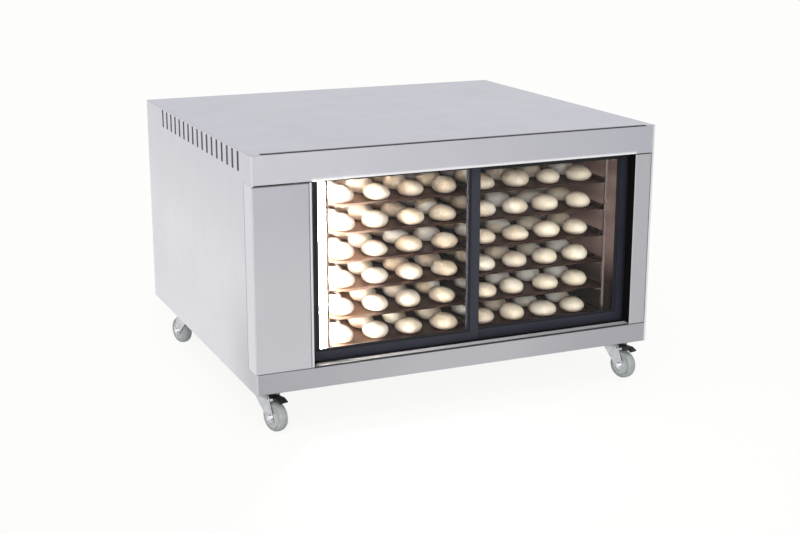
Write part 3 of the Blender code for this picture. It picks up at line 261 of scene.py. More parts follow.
class Finish(Nodes):
    """A procedural material, built up round a Principled shader."""

    def __init__(self, name, **settings):
        self.material = bpy.data.materials.new(name)
        self.material.use_nodes = True
        super().__init__(self.material.node_tree)
        self.shader = self.tree.nodes["Principled BSDF"]
        self.place = self.node("TexCoord").outputs["Object"]
        self.set(**settings)

    def set(self, **values):
        for socket, value in values.items():
            self.feed(self.shader.inputs[socket.replace("_", " ")], value)
        return self.material

    def surface(self, shader):
        """Another shader takes the place of the Principled one."""
        self.tree.links.new(shader, self.tree.nodes["Material Output"].inputs["Surface"])
        self.tree.nodes.remove(self.shader)
        return self.material

    def along(self, axis):
        """A point's place along an axis, in metres."""
        return self.node("SeparateXYZ", {"Vector": self.place}).outputs[axis]

    def noise(self, scale, detail=3.0, stretch=(1, 1, 1), roughness=0.5):
        spread = self.node("Mapping", {"Vector": self.place, "Scale": stretch}).outputs[0]
        return self.node("TexNoise", {"Vector": spread, "Scale": scale, "Detail": detail,
                                      "Roughness": roughness}).outputs[0]

    def mix(self, share, first, second):
        """Two colours, with the second one's share."""
        return self.node("Mix", {0: share, 6: first, 7: second}, data_type="RGBA").outputs[2]

    def tones(self, pattern, low, high, tint, darker, lighter):
        """A tint that goes from darker to lighter as a pattern rises from low to high."""
        return self.mix(self.range(pattern, low, high), shade(tint, darker), shade(tint, lighter))

    def zoned(self, colour, zones):
        """A colour with the tints of its zones, each in the product of the shares that its limits give."""
        for tint, limits in zones:
            share = 1.0
            for axis, start, full in limits:
                share = self.calc("MULTIPLY", self.range(self.along(axis), start, full), share)
            colour = self.mix(share, colour, tint)
        return colour

    def bump(self, height, distance, strength, bevel=None):
        """Relief by a height, on edges that are rounded by the radius of a bevel."""
        inputs = {"Height": height, "Distance": distance, "Strength": strength}
        if bevel:
            inputs["Normal"] = self.node("Bevel", {"Radius": bevel}, samples=4).outputs[0]
        return self.node("Bump", inputs).outputs[0]


def shade(colour, factor):
    return tuple(channel * factor for channel in colour)


def zone(tint, *limits):
    """A tint for a part of a sheet, and its limits: an axis, where the tint starts and where it is full."""
    return tint, limits


def brushed_steel(name, tint, roughness, grain, metallic=0.9, edge=0.0010, shine=0.5, zones=()):
    """Sheet steel with fine grain along one axis, broad smudges and softened edges."""
    finish = Finish(name, Metallic=metallic, Specular_IOR_Level=shine)
    stretch = [1 if axis == grain else GRAIN_STRETCH for axis in "XYZ"]
    lines = finish.noise(scale=14.0, detail=4.0, stretch=stretch, roughness=0.65)
    smudges = finish.noise(scale=3.2, detail=4.0, roughness=0.6)
    clouds = finish.noise(scale=11.0)
    colour = finish.tones(smudges, 0.35, 0.65, tint, darker=0.965, lighter=1.03)
    colour = finish.mix(finish.range(lines, 0.3, 0.7, end=0.5), colour, shade(tint, 0.93))
    colour = finish.zoned(colour, zones)
    gloss = finish.range(clouds, 0.3, 0.7, roughness - 0.04, roughness + 0.05)
    normal = finish.bump(lines, distance=0.00002, strength=0.6, bevel=edge)
    return finish.set(Base_Color=colour, Roughness=gloss, Normal=normal)


def satin_paint(name, tint, roughness, metallic=0.0, shine=0.5):
    """Coated metal with a very fine orange peel and slightly rubbed tone."""
    finish = Finish(name, Metallic=metallic, Specular_IOR_Level=shine)
    peel = finish.noise(scale=900.0, detail=2.0)
    rubs = finish.noise(scale=9.0, detail=4.0, roughness=0.6)
    colour = finish.tones(rubs, 0.35, 0.65, tint, darker=0.88, lighter=1.10)
    gloss = finish.range(rubs, 0.3, 0.7, roughness - 0.05, roughness + 0.07)
    normal = finish.bump(peel, distance=0.00004, strength=0.5, bevel=0.0008)
    return finish.set(Base_Color=colour, Roughness=gloss, Normal=normal)


def rubber(name, tint, roughness, shine=0.5):
    """Matt moulded rubber or plastic with fine pitting and dusty patches."""
    finish = Finish(name, Specular_IOR_Level=shine)
    pits = finish.noise(scale=700.0, roughness=0.7)
    dust = finish.noise(scale=45.0, detail=4.0, roughness=0.65)
    colour = finish.tones(dust, 0.4, 0.75, tint, darker=1.0, lighter=1.35)
    gloss = finish.range(dust, 0.3, 0.7, roughness - 0.06, roughness + 0.06)
    normal = finish.bump(pits, distance=0.00012, strength=0.6, bevel=0.0006)
    return finish.set(Base_Color=colour, Roughness=gloss, Normal=normal)


def mottled_metal(name, tint, roughness, zones=()):
    """Bright zinc or brass with a mottled spangle."""
    finish = Finish(name, Metallic=1.0)
    cells = finish.node("TexVoronoi", {"Vector": finish.place, "Scale": 190.0}).outputs["Distance"]
    cloud = finish.noise(scale=60.0)
    colour = finish.zoned(finish.tones(cloud, 0.35, 0.65, tint, darker=0.86, lighter=1.04), zones)
    gloss = finish.range(cells, 0.0, 0.8, roughness - 0.05, roughness + 0.08)
    normal = finish.bump(cloud, distance=0.00008, strength=0.4, bevel=0.0006)
    return finish.set(Base_Color=colour, Roughness=gloss, Normal=normal)


def dough():
    """Floured dough: cream with warmer patches and flour; painted lamp light makes it paler beside the lamp
    and lighter towards the right, and painted highlights pale some of the rolls behind.
    """
    finish = Finish("dough", Roughness=0.62)
    patches = finish.noise(scale=26.0, detail=4.0, roughness=0.6)
    skin = finish.noise(scale=420.0, roughness=0.7)
    flour = finish.noise(scale=95.0, detail=5.0, roughness=0.75)
    batch = finish.noise(scale=11.0, detail=1.0)
    colour = finish.mix(finish.range(patches, 0.35, 0.65), (0.63, 0.48, 0.34), (0.87, 0.73, 0.555))
    colour = finish.mix(finish.range(batch, 0.50, 0.66, end=0.7), colour, (0.97, 0.90, 0.80))
    # Painted lamp light: lighter and warmer towards the right, paler beside the lamp on the left
    across = finish.along("X")
    colour = finish.mix(finish.range(across, 0.02, 0.30, end=0.55), colour, (0.95, 0.83, 0.66))
    colour = finish.mix(finish.range(across, -0.10, -0.28, end=0.9), colour, (0.97, 0.92, 0.85))
    # Painted highlights on some of the rolls behind the front row
    painted_highlights = finish.range(finish.noise(scale=9.0, detail=0.0), 0.50, 0.54)
    deep = finish.range(finish.along("Y"), DOUGH_FRONT + 0.085, DOUGH_FRONT + 0.100)
    colour = finish.mix(finish.calc("MULTIPLY", painted_highlights, deep), colour, (1.0, 0.96, 0.90))
    colour = finish.mix(finish.range(flour, 0.47, 0.66, end=0.6), colour, (0.92, 0.85, 0.74))
    return finish.set(Base_Color=colour, Normal=finish.bump(skin, distance=0.0006, strength=0.35))


def opal_lamp():
    """The lit diffuser, a little cloudy."""
    finish = Finish("lamp_diffuser", Roughness=0.35)
    colour = finish.mix(finish.noise(scale=30.0, detail=2.0), (0.96, 0.95, 0.90), (0.90, 0.89, 0.84))
    return finish.set(Base_Color=colour, Emission_Color=LAMP_GLOW, Emission_Strength=LAMP_STRENGTH)


def clear_glass():
    """Float glass: a slightly green clear pane with faint wipe marks, which reflects more at a slant."""
    finish = Finish("door_glass")
    wipe = finish.noise(scale=9.0, detail=4.0, stretch=(1, 1, 3), roughness=0.6)
    tint = finish.mix(wipe, (0.955, 0.96, 0.955), (0.98, 0.985, 0.98))
    clear = finish.node("BsdfTransparent", {"Color": tint}).outputs[0]
    gloss = finish.node("BsdfGlossy", {"Color": (1.0, 1.0, 1.0), "Roughness": 0.02}).outputs[0]
    slant = finish.node("LayerWeight", {"Blend": 0.5}).outputs["Facing"]
    mirror = finish.range(finish.calc("POWER", slant, 5.0), 0.0, 1.0, 0.008, 0.9)
    return finish.surface(finish.blend(mirror, clear, gloss))


# A limit that keeps a tint to the cabinet's left half
LEFT_HALF = ("X", 0.01, 0.0)

# The finishes; comments say what the zones of a sheet show
# The stainless sheets are one steel; their tints differ sheet by sheet as painted light and shade, lightest
# on the side panels and darkest on the plinth, post and cover
FINISHES = {
    # Painted shade darkens the top's front edge beside its gap, between the tabs
    "top": brushed_steel("steel_top", (0.515, 0.515, 0.585), 0.42, "X", zones=(
        zone((0.17, 0.17, 0.18), ("Y", TOP_FRONT + 0.0085, TOP_FRONT + 0.0040),
             ("X", TOP_LEFT, TOP_LEFT + 0.002), ("X", TOP_RIGHT, TOP_RIGHT - 0.002)),)),
    # Painted shade darkens the fascia to the right, and a painted highlight lightens its lower fold over the
    # doors
    "front": brushed_steel("steel_front", (0.57, 0.56, 0.61), 0.36, "X", zones=(
        zone((0.44, 0.445, 0.495), ("X", -0.3, 0.6)),
        zone((0.84, 0.84, 0.86), ("Z", FOLD + 0.0095, FOLD + 0.0035), ("X", JAMB - 0.004, JAMB),
             ("X", POST + 0.002, POST)))),
    # Painted light lightens the cover downwards and makes its return as light as the side panel, and painted
    # shade darkens its top edge in the seam
    "cover": brushed_steel("steel_cover", (0.455, 0.455, 0.495), 0.38, "Z", zones=(
        zone((0.492, 0.492, 0.530), ("Z", 0.60, 0.40)),
        zone((0.715, 0.71, 0.76), ("X", RETURN + 0.0010, RETURN + 0.0004)),
        zone((0.15, 0.14, 0.15), ("Z", COVER_HIGH.z - 0.0034, COVER_HIGH.z - 0.0020),
             ("X", RETURN + 0.0010, RETURN + 0.0016)))),
    "jamb": brushed_steel("steel_jamb", (0.60, 0.60, 0.64), 0.34, "Z"),
    # The casing's light tint is painted light; painted shade darkens it upwards, and darkens the left side to
    # its front foot and beside the cover's return
    "side": brushed_steel("steel_side", (0.735, 0.73, 0.775), 0.40, "Y", zones=(
        zone((0.635, 0.635, 0.69), ("Z", 0.42, 0.64)),
        zone((0.545, 0.54, 0.58), LEFT_HALF, ("Z", 0.42, 0.20), ("Y", -0.26, -0.46)),
        zone((0.545, 0.54, 0.58), LEFT_HALF, ("Y", RETURN_END + 0.0036, RETURN_END + 0.0022),
             ("Y", RETURN_END - 0.002, RETURN_END - 0.001), ("Z", COVER_HIGH.z + 0.001, COVER_HIGH.z),
             ("Z", COVER_LOW.z - 0.001, COVER_LOW.z)))),
    # The plinth's dark tint is painted shade; painted light makes it lightest in the middle, and painted
    # shade darkens its upper edge under the sill
    "base": brushed_steel("steel_base", (0.370, 0.370, 0.405), 0.38, "X", zones=(
        zone((0.43, 0.43, 0.465), ("X", -0.40, -0.10), ("X", 0.42, 0.15)),
        zone((0.14, 0.14, 0.15), ("Z", BASE_TOP - 0.0020, BASE_TOP - 0.0012), ("X", JAMB - 0.001, JAMB),
             ("X", POST + 0.001, POST)))),
    # The post's dark tint is painted shade, as at the fascia's right end
    "post": brushed_steel("steel_post", (0.435, 0.425, 0.455), 0.36, "Z"),
    "bright": brushed_steel("steel_bright", (0.78, 0.78, 0.80), 0.24, "X"),
    # Painted shade dulls the sill towards the lamp and darkens its front edge
    "sill": brushed_steel("steel_sill", (0.52, 0.52, 0.545), 0.50, "X", metallic=0.5, shine=0.04, zones=(
        zone((0.035, 0.035, 0.038), ("X", -0.08, -0.34)),
        zone((0.16, 0.16, 0.17), ("Y", SILL_FRONT + 0.0016, SILL_FRONT + 0.0008)))),
    # The liner's dark brown tint is painted shade, and painted light makes it lighter towards its right end
    # and beside the lamp
    "liner": brushed_steel("steel_liner", (0.15, 0.095, 0.08), 0.30, "Z", zones=(
        zone((0.40, 0.27, 0.25), ("X", 0.30, 0.52)), zone((0.85, 0.70, 0.58), ("X", -0.18, -0.32)))),
    # The right wall's warm pale tint is painted lamp light, and painted shade darkens it towards its foot
    "wall": brushed_steel("steel_wall", (0.80, 0.58, 0.545), 0.34, "Z", metallic=0.4, zones=(
        zone((0.10, 0.07, 0.065), ("Z", 0.36, 0.26)),)),
    # The racks' warm brown tint is painted shade and lamp light, and painted shade darkens the left rack
    # behind the lamp
    "rack": brushed_steel("steel_rack", (0.42, 0.33, 0.30), 0.28, "Z", metallic=1.0, edge=0.0005, zones=(
        zone((0.07, 0.045, 0.035), ("X", LEFT_RACK + 0.002, LEFT_RACK)),)),
    # The trays' dark brown tint is painted shade, and painted lamp light makes them lighter beside the lamp
    "tray": brushed_steel("tray_metal", (0.125, 0.060, 0.048), 0.36, "Y", edge=0.0004, zones=(
        zone((0.85, 0.64, 0.52), ("X", -0.16, -0.32)),)),
    "dark_frame": satin_paint("slate_frame", (0.014, 0.015, 0.026), 0.48, metallic=0.1, shine=0.42),
    "seal": rubber("black_seal", (0.010, 0.010, 0.012), 0.65, shine=0.2),
    # Near-black, dull rubber for the buffers and sill strips, made darker than the seals as painted shade
    "buffer": rubber("black_buffer", (0.0025, 0.0025, 0.003), 0.80, shine=0.05),
    "glass": clear_glass(),
    "lamp": opal_lamp(),
    # Painted shade darkens the castors' plates and forks under the base
    "zinc": mottled_metal("zinc", (0.60, 0.61, 0.65), 0.22, zones=(
        zone((0.09, 0.09, 0.10), ("Z", 0.084, 0.102)),)),
    "tyre": rubber("tyre", (0.24, 0.255, 0.25), 0.62),
    "hub": rubber("hub", (0.36, 0.385, 0.375), 0.48),
    "pedal": rubber("pedal_plastic", (0.009, 0.009, 0.010), 0.50, shine=0.35),
    "brass": mottled_metal("brass", (0.70, 0.55, 0.28), 0.32),
    "heater": satin_paint("heater_steel", (0.16, 0.14, 0.13), 0.42, metallic=0.8),
    "motor": satin_paint("motor_grey", (0.24, 0.26, 0.28), 0.45, metallic=0.1),
    "control": satin_paint("control_grey", (0.30, 0.31, 0.33), 0.50),
    "filter": rubber("filter_mat", (0.10, 0.10, 0.11), 0.80, shine=0.2),
    "end_cap": satin_paint("lamp_end_cap", (0.72, 0.71, 0.68), 0.45),
    "dough": dough(),
}

# Which finish each CAD node takes; a castor's parts are named after their corner
NODE_FINISHES = {
    "top": ["top_panel"],
    "front": ["front_fascia"],
    "cover": ["service_cover"],
    "jamb": ["left_jamb"],
    "side": ["left_side_panel", "right_side_panel", "back_panel"],
    "base": ["base_pan"],
    "post": ["right_post"],
    "sill": ["door_sill"],
    "bright": ["upper_track"],
    # The lower track takes the pedals' black plastic as painted shade under the doors
    "pedal": ["lower_track", "cable_gland", "front_left_castor_brake_pedal",
              "front_right_castor_brake_pedal"],
    "liner": ["chamber_floor", "chamber_ceiling", "chamber_back_wall", "duct_wall", "air_baffle"],
    "wall": ["chamber_right_wall"],
    "rack": ["left_tray_rack", "centre_tray_rack", "right_tray_rack", "evaporator_pan", "fan_wheel"],
    "tray": [f"{side}_tray_{level}" for side in SIDES for level in LEVELS],
    "dark_frame": ["left_door_frame", "right_door_frame"],
    "glass": ["left_door_glass", "right_door_glass"],
    "lamp": ["chamber_lamp"],
    "zinc": [f"{corner}_castor_{part}" for corner in CORNERS for part in ("plate", "fork")],
    "brass": ["water_inlet"],
    "heater": ["air_heater", "steam_heater"],
    "motor": ["fan_motor"],
    "control": ["control_unit"],
    "hub": [f"{corner}_castor_wheel" for corner in CORNERS],
}


def dress_nodes():
    for finish, nodes in NODE_FINISHES.items():
        for name in nodes:
            mesh = frame["nodes"][name].data
            mesh.materials.clear()
            mesh.materials.append(FINISHES[finish])


def add_piece(name, geometry, finish, body, smooth=30.0):
    """A piece that rides on a body; edges that turn by more than smooth degrees look sharp."""
    bmesh.ops.recalc_face_normals(geometry, faces=geometry.faces)
    mesh = bpy.data.meshes.new(name)
    geometry.to_mesh(mesh)
    geometry.free()
    mesh.shade_smooth()
    mesh.set_sharp_from_angle(angle=math.radians(smooth))
    mesh.materials.append(FINISHES[finish])
    piece = bpy.data.objects.new(name, mesh)
    bpy.context.scene.collection.objects.link(piece)
    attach(piece, body)
    return piece


def circle(radius, steps):
    """Points (x, y) round a circle."""
    angles = [math.tau * k / steps for k in range(steps)]
    return [(radius * math.cos(angle), radius * math.sin(angle)) for angle in angles]


def turned(geometry, profile, steps, place):
    """Turns a closed loop of (radius, height) points about a place's local Z."""
    rings = [[(x, y, height) for x, y in circle(radius, steps)] for radius, height in profile]
    loft(geometry, rings, place, ends="joined")


def loft(geometry, rings, place=Matrix.Identity(4), ends="filled"):
    """Skins equal rings of points; the ends are filled, left open, or joined to each other."""
    rows = [[geometry.verts.new(place @ Vector(point)) for point in ring] for ring in rings]
    pairs = list(zip(rows, rows[1:]))
    if ends == "joined":
        pairs.append((rows[-1], rows[0]))
    for first, second in pairs:
        for k in range(len(first)):
            geometry.faces.new((first[k - 1], first[k], second[k], second[k - 1]))
    if ends == "filled":
        geometry.faces.new(rows[0])
        geometry.faces.new(rows[-1][::-1])
    return rows


def facing(place, axis):
    """A frame at a place whose local Z runs along an axis."""
    return Matrix.Translation(place) @ Vector(axis).to_track_quat("Z", "Y").to_matrix().to_4x4()


def mirrored(section):
    """A section's (radius, height) points, and the same points below it."""
    return section + [(radius, -height) for radius, height in reversed(section) if height]


def roll(geometry, place, size, turn, seed):
    """One proofed roll: an egg-like oval that draws in where it sits, with an uneven skin."""
    width, length, height = size
    spin = Matrix.Rotation(turn, 3, "Z")

    def unevenness(side):
        return sum(depth * noise.noise(side * scale + seed * share) for depth, scale, share in ROLL_SWELLS)

    rings = []
    for rise, reach in ROLL_RINGS:
        ring = []
        for x, y in circle(reach, ROLL_SEGMENTS):
            side = Vector((x, y, rise * 2 - 1))
            swell = 1 + unevenness(side)
            lift = height * rise * (swell if rise > ROLL_LEVEL_RISE else 1)
            point = Vector((side.x * width / 2 * swell, side.y * length / 2 * swell, lift))
            ring.append(place + spin @ point)
        rings.append(ring)
    rows = loft(geometry, rings, ends="open")
    for row, rise in ((rows[0], 0), (rows[-1], 1)):
        middle = sum((corner.co for corner in row), Vector()) / ROLL_SEGMENTS
        middle.z = place.z + height * rise * ROLL_TIP
        tip = geometry.verts.new(middle)
        for k in range(ROLL_SEGMENTS):
            geometry.faces.new((row[k - 1], row[k], tip))


def add_dough():
    """Rolls in four columns on each tray; none touches a tray's rim."""
    draw = random.Random(DOUGH_SEED)
    for side in SIDES:
        for level in LEVELS:
            low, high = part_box(f"{side}_tray_{level}")
            middle = (low.x + high.x) / 2
            pitch = (high.y - low.y - 2 * TRAY_WALL) / ROLL_ROWS
            geometry = bmesh.new()
            for column in range(ROLL_COLUMNS):
                for row in range(ROLL_ROWS):
                    width = ROLL_WIDTH * draw.uniform(*WIDTH_RANGE)
                    length = min(ROLL_LENGTH * draw.uniform(*LENGTH_RANGE), pitch * ROLL_FILL)
                    height = ROLL_HEIGHT * draw.uniform(*HEIGHT_RANGE)
                    x = middle + (column - (ROLL_COLUMNS - 1) / 2) * ROLL_PITCH + draw.uniform(*SHIFT_ACROSS)
                    y = low.y + TRAY_WALL + (row + 0.5) * pitch + draw.uniform(*SHIFT_ALONG)
                    place = Vector((x, y, low.z + TRAY_SHEET + SEAT))
                    seed = Vector([draw.uniform(*SWELL_RANGE) for _ in range(3)])
                    roll(geometry, place, (width, length, height), draw.uniform(*TURN_RANGE), seed)
            add_piece(f"dough_{side}_{level}", geometry, "dough", "cabinet", smooth=80.0)


def add_door_seals():
    """Black glazing seals round the panes, whose lips are widened as painted shade at the left edges and
    tops.
    """
    for side in SIDES:
        pane_low, pane_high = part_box(f"{side}_door_glass")
        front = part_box(f"{side}_door_frame")[0].y
        left, right = pane_low.x + GLASS_REBATE, pane_high.x - GLASS_REBATE
        low, high = pane_low.z + GLASS_REBATE, pane_high.z - GLASS_REBATE
        rings = []
        for x, z, out_x, out_z in ((left, low, -1, -1), (right, low, 1, -1), (right, high, 1, 1),
                                   (left, high, -1, 1)):
            lip_x = LEFT_LIP if out_x < 0 else 1
            lip_z = TOP_LIPS[side] if out_z > 0 else 1
            rings.append([(x + out_x * out * (lip_x if out < 0 else 1), front + depth,
                           z + out_z * out * (lip_z if out < 0 else 1)) for out, depth in SEAL_SECTION])
        geometry = bmesh.new()
        loft(geometry, rings, ends="joined")
        add_piece(f"{side}_door_seal", geometry, "seal", f"{side}_door", 25.0)


def ribs(front, back, count, groove, crest, foot, shoulder):
    """Flat-topped ribs from front to back, as (place, thickness) points."""
    points = []
    for k in range(count):
        start = front + (back - front) * k / count
        end = front + (back - front) * (k + 1) / count
        points += [(start + foot, groove), (start + shoulder, crest),
                   (end - shoulder, crest), (end - foot, groove)]
    return points


def strip(name, outline, low, high, finish, body):
    """A strip with one section all along Z, its ends drawn in a little."""
    centre = sum((Vector(point) for point in outline), Vector((0, 0))) / len(outline)
    ends = [centre + (Vector(point) - centre) * STRIP_END for point in outline]
    rings = [[(x, y, z) for x, y in section] for section, z in (
        (ends, low), (outline, low + STRIP_CHAMFER), (outline, high - STRIP_CHAMFER), (ends, high))]
    geometry = bmesh.new()
    loft(geometry, rings)
    add_piece(name, geometry, finish, body, 25.0)


def add_strips():
    """Ribbed black buffers on the returns beside the doors, which also stand in as painted shade in the gaps
    there, and the pile that closes the gap between them.
    """
    post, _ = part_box("right_post")
    _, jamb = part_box("left_jamb")
    _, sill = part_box("door_sill")
    door_low, door_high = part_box("left_door_frame")
    low, high = sill.z + BUFFER_END_GAP, jamb.z - BUFFER_END_GAP
    front, back = post.y + BUFFER_FRONT_GAP, door_low.y - BUFFER_DOOR_GAP
    section = [(back, SEAT), (front, SEAT)] + ribs(front, back, **BUFFER_RIBS)
    for name, face, side in (("right_buffer", post.x, -1), ("left_buffer", jamb.x, 1)):
        outline = [(face + side * thickness, y) for y, thickness in section]
        strip(name, outline, low, high, "buffer", "cabinet")
    pile = [(door_high.x - PILE_INSET + x, door_high.y + y) for x, y in PILE_SECTION]
    strip("door_pile", pile, door_low.z + PILE_FREE[0], door_high.z - PILE_FREE[1], "seal", "left_door")


def add_sill_strips():
    """A ribbed black strip on the sill in front of the doors and one that fills the gap under it, both put
    there as painted shade.
    """
    low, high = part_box("door_sill")
    start, end = low.x + SILL_END_GAP, high.x - SILL_END_GAP
    front, back = (high.y - gap for gap in SILL_SHADE_STRIP)
    top = high.z + SEAT
    shade_strip = [(back, top), (front, top)]
    shade_strip += [(y, top + thickness) for y, thickness in ribs(front, back, **SILL_RIBS)]
    under, over = BASE_TOP + SEAT, high.z - GAP_STRIP_TOP
    filler = [(low.y + GAP_STRIP_BACK, under), (low.y + GAP_STRIP_FACE, under),
              (low.y + GAP_STRIP_NOSE, (under + over) / 2), (low.y + GAP_STRIP_FACE, over),
              (low.y + GAP_STRIP_BACK, over)]
    for name, outline in (("sill_shade_strip", shade_strip), ("sill_gap_strip", filler)):
        geometry = bmesh.new()
        loft(geometry, [[(x, y, z) for y, z in outline] for x in (start, end)])
        add_piece(name, geometry, "buffer", "cabinet", 25.0)


def add_filter():
    """A pleated mat behind the vent slots of the left side."""
    panel_low, panel_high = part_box("left_side_panel")
    start, end = (panel_low.y + reach for reach in FILTER_SPAN)
    low, high = (panel_high.z - drop for drop in FILTER_DROP)
    back, valley, crest = (panel_low.x + depth for depth in (FILTER_BACK, FILTER_VALLEY, FILTER_CREST))
    pitch = (end - start) / FILTER_PLEATS
    outline = [(back, end), (back, start)]
    for k in range(FILTER_PLEATS):
        outline += [(valley, start + k * pitch), (crest, start + (k + 0.5) * pitch)]
    outline.append((valley, end))
    geometry = bmesh.new()
    loft(geometry, [[(x, y, z) for x, y in outline] for z in (low, high)])
    add_piece("vent_filter", geometry, "filter", "cabinet", smooth=20.0)


def add_lamp_caps():
    """Holders that close the lamp's two ends."""
    low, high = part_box("chamber_lamp")
    left, right = low.x - HOLDER_RIM + HOLDER_CORNER, high.x + HOLDER_RIM - HOLDER_CORNER
    front, back = low.y + SEAT + HOLDER_CORNER, high.y + HOLDER_RIM - HOLDER_CORNER
    geometry = bmesh.new()
    for base, inner in ((low.z + SEAT, low.z + HOLDER_LENGTH), (high.z - SEAT, high.z - HOLDER_LENGTH)):
        straight = base + (inner - base) * HOLDER_STRAIGHT
        outlines = []
        for reach, z in ((HOLDER_CORNER, base), (HOLDER_CORNER, straight),
                         (HOLDER_CORNER - HOLDER_CHAMFER, inner)):
            outline = []
            for quarter, (x, y) in enumerate(((right, back), (left, back), (left, front), (right, front))):
                for step in range(HOLDER_STEPS + 1):
                    angle = (quarter + step / HOLDER_STEPS) * math.pi / 2
                    outline.append((x + reach * math.cos(angle), y + reach * math.sin(angle), z))
            outlines.append(outline)
        loft(geometry, outlines)
    add_piece("lamp_end_caps", geometry, "end_cap", "cabinet", 35.0)


def add_fan_guard():
    """A wire guard over the intake in the air baffle: rings on eight spokes."""
    _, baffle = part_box("air_baffle")
    fan_low, fan_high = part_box("fan_wheel")
    centre = Vector((baffle.x, (fan_low.y + fan_high.y) / 2, (fan_low.z + fan_high.z) / 2))
    place = facing(centre, (1, 0, 0))
    wire = circle(GUARD_WIRE, GUARD_WIRE_STEPS)
    geometry = bmesh.new()
    for reach, height in GUARD_RINGS:
        turned(geometry, [(reach + x, height + y) for x, y in wire], GUARD_STEPS, place)
    for k in range(GUARD_SPOKES):
        spoke = place @ Matrix.Rotation(math.tau * k / GUARD_SPOKES, 4, "Z")
        loft(geometry, [[(reach, x, height + y) for x, y in wire] for reach, height in SPOKE_POINTS], spoke)
    add_piece("fan_guard", geometry, "bright", "cabinet", 50.0)


def hex_head(geometry, place, across, height, washer):
    """A hexagon head with chamfered corners on a round washer."""
    facet = math.tau / 6
    hexagon = []
    for k in range(HEAD_STEPS):
        angle = math.tau * k / HEAD_STEPS
        reach = across / 2 / math.cos(angle % facet - facet / 2)
        hexagon.append((reach * math.cos(angle), reach * math.sin(angle)))
    disc, crown = circle(washer, HEAD_STEPS), circle(across / 2 * HEAD_CROWN, HEAD_STEPS)
    sections = ((disc, 0), (disc, HEAD_WASHER), (hexagon, HEAD_WASHER), (hexagon, HEAD_CHAMFER), (crown, 1))
    loft(geometry, [[(x, y, height * share) for x, y in section] for section, share in sections], place)


def add_castor_parts():
    """Smooth wheels in place of the faceted ones, hexagon bolts in the plates and nuts on the axles."""
    joints = {joint["name"]: joint for joint in frame["joints"]}
    half = TYRE_WIDTH / 2
    hub_face = [(radius, half - depth) for radius, depth in HUB_FACE]
    for corner in CORNERS:
        joint = joints[f"{corner}_wheel_spin"]
        centre, axis = Vector(joint["pos_m"]), Vector(joint["axis"]).normalized()
        place = facing(centre, axis)
        radius = centre.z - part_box(f"{corner}_castor_wheel")[0].z
        tread = [(HUB_RADIUS + out, half - depth) for out, depth in TYRE_BEAD]
        tread += [(radius - into, half - depth) for into, depth in TYRE_SHOULDER] + [(radius, 0)]
        tyre, hub, nuts, bolts = (bmesh.new() for _ in range(4))
        turned(tyre, mirrored(tread), WHEEL_STEPS, place)
        wheel = add_piece(f"{corner}_tyre", tyre, "tyre", f"{corner}_wheel")
        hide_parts(f"{corner}_castor_wheel")
        turned(hub, mirrored(hub_face), WHEEL_STEPS, place)
        add_piece(f"{corner}_hub", hub, "hub", f"{corner}_wheel")
        for way in (-1, 1):
            hex_head(nuts, facing(centre + axis * way * AXLE_NUT_PLACE, axis * way), **AXLE_NUT)
        add_piece(f"{corner}_axle_nuts", nuts, "bright", f"{corner}_fork")
        low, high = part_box(f"{corner}_castor_plate")
        middle = (low + high) / 2
        for x in (-PLATE_BOLT_X, PLATE_BOLT_X):
            for y in (-PLATE_BOLT_Y, PLATE_BOLT_Y):
                seat = Vector((middle.x + x, middle.y + y, high.z - PLATE_SHEET - SEAT))
                hex_head(bolts, facing(seat, (0, 0, -1)), **PLATE_BOLT)
        add_piece(f"{corner}_bolts", bolts, "bright", "cabinet")


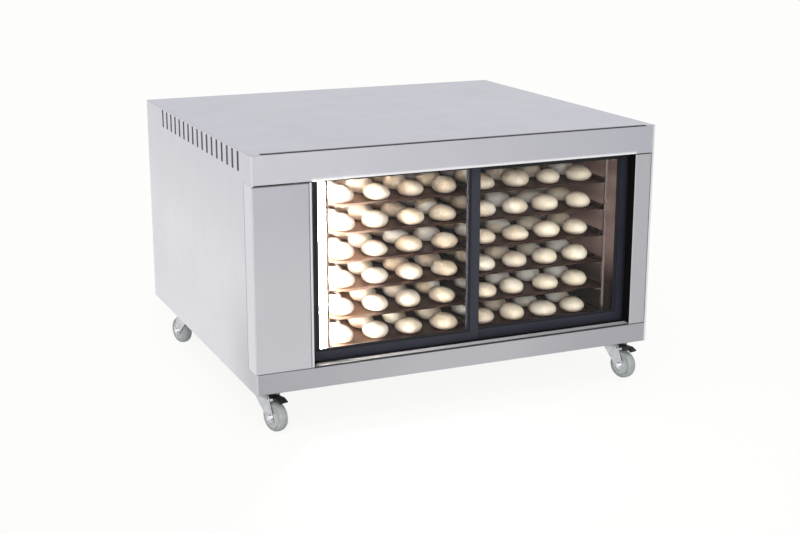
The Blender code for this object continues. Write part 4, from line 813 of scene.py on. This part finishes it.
def add_floor():
    """A white floor that keeps a faint shadow."""
    corners = [(x * FLOOR_REACH, y * FLOOR_REACH, 0) for x, y in ((-1, -1), (1, -1), (1, 1), (-1, 1))]
    mesh = bpy.data.meshes.new("floor")
    mesh.from_pydata(corners, [], [(0, 1, 2, 3)])
    floor = bpy.data.objects.new("floor", mesh)
    bpy.context.scene.collection.objects.link(floor)
    floor.location = (0, 0, -FLOOR_DROP)
    finish = Finish("floor")
    share = finish.calc("MULTIPLY", finish.seen(), GLOW_SHARE)
    paper = finish.node("BsdfDiffuse", {"Color": FLOOR_PAPER}).outputs[0]
    glow = finish.node("Emission", {"Color": FLOOR_GLOW, "Strength": 1.0}).outputs[0]
    mesh.materials.append(finish.surface(finish.blend(share, paper, glow)))


def add_surround():
    """A pale surround that lights the cabinet evenly, with a greyer side for the sheets to mirror."""
    world = bpy.data.worlds.new("studio")
    bpy.context.scene.world = world
    world.use_nodes = True
    world.node_tree.nodes.clear()
    nodes = Nodes(world.node_tree)
    way = nodes.node("TexCoord").outputs["Generated"]
    axes = nodes.node("SeparateXYZ", {"Vector": way}).outputs
    slant = nodes.calc("MULTIPLY_ADD", axes["X"], SURROUND_SLANT, axes["Y"])
    mirrored_tone = nodes.range(slant, **SURROUND_TONES)
    camera = nodes.node("LightPath").outputs["Is Camera Ray"]
    tone = nodes.calc("MAXIMUM", mirrored_tone, camera)
    light = nodes.node("Background", {"Color": (1.0, 1.0, 1.0), "Strength": SURROUND_LIGHT}).outputs[0]
    painted_highlights = nodes.node("Background", {"Color": SURROUND_TINT, "Strength": tone}).outputs[0]
    nodes.node("OutputWorld", {"Surface": nodes.blend(nodes.seen(), light, painted_highlights)})


def add_suns():
    """A soft light from above and a softer one from the front."""
    for name, (way, strength, width) in SUNS.items():
        lamp = bpy.data.lights.new(name, "SUN")
        lamp.energy = strength
        lamp.angle = math.radians(width)
        sun = bpy.data.objects.new(name, lamp)
        sun.rotation_euler = Vector(way).to_track_quat("Z", "Y").to_euler()
        bpy.context.scene.collection.objects.link(sun)


def add_camera():
    data = bpy.data.cameras.new("camera")
    data.lens = CAMERA_LENS
    data.sensor_width = CAMERA_SENSOR
    data.clip_end = CAMERA_REACH
    camera = bpy.data.objects.new("camera", data)
    camera.location = CAMERA_PLACE
    camera.rotation_euler = [math.radians(angle) for angle in CAMERA_TURN]
    bpy.context.scene.collection.objects.link(camera)
    bpy.context.scene.camera = camera


dress_nodes()
add_dough()
add_door_seals()
add_strips()
add_sill_strips()
add_filter()
add_lamp_caps()
add_fan_guard()
add_castor_parts()
add_floor()
add_surround()
add_suns()
add_camera()
bpy.context.scene.view_settings.view_transform = "Standard"
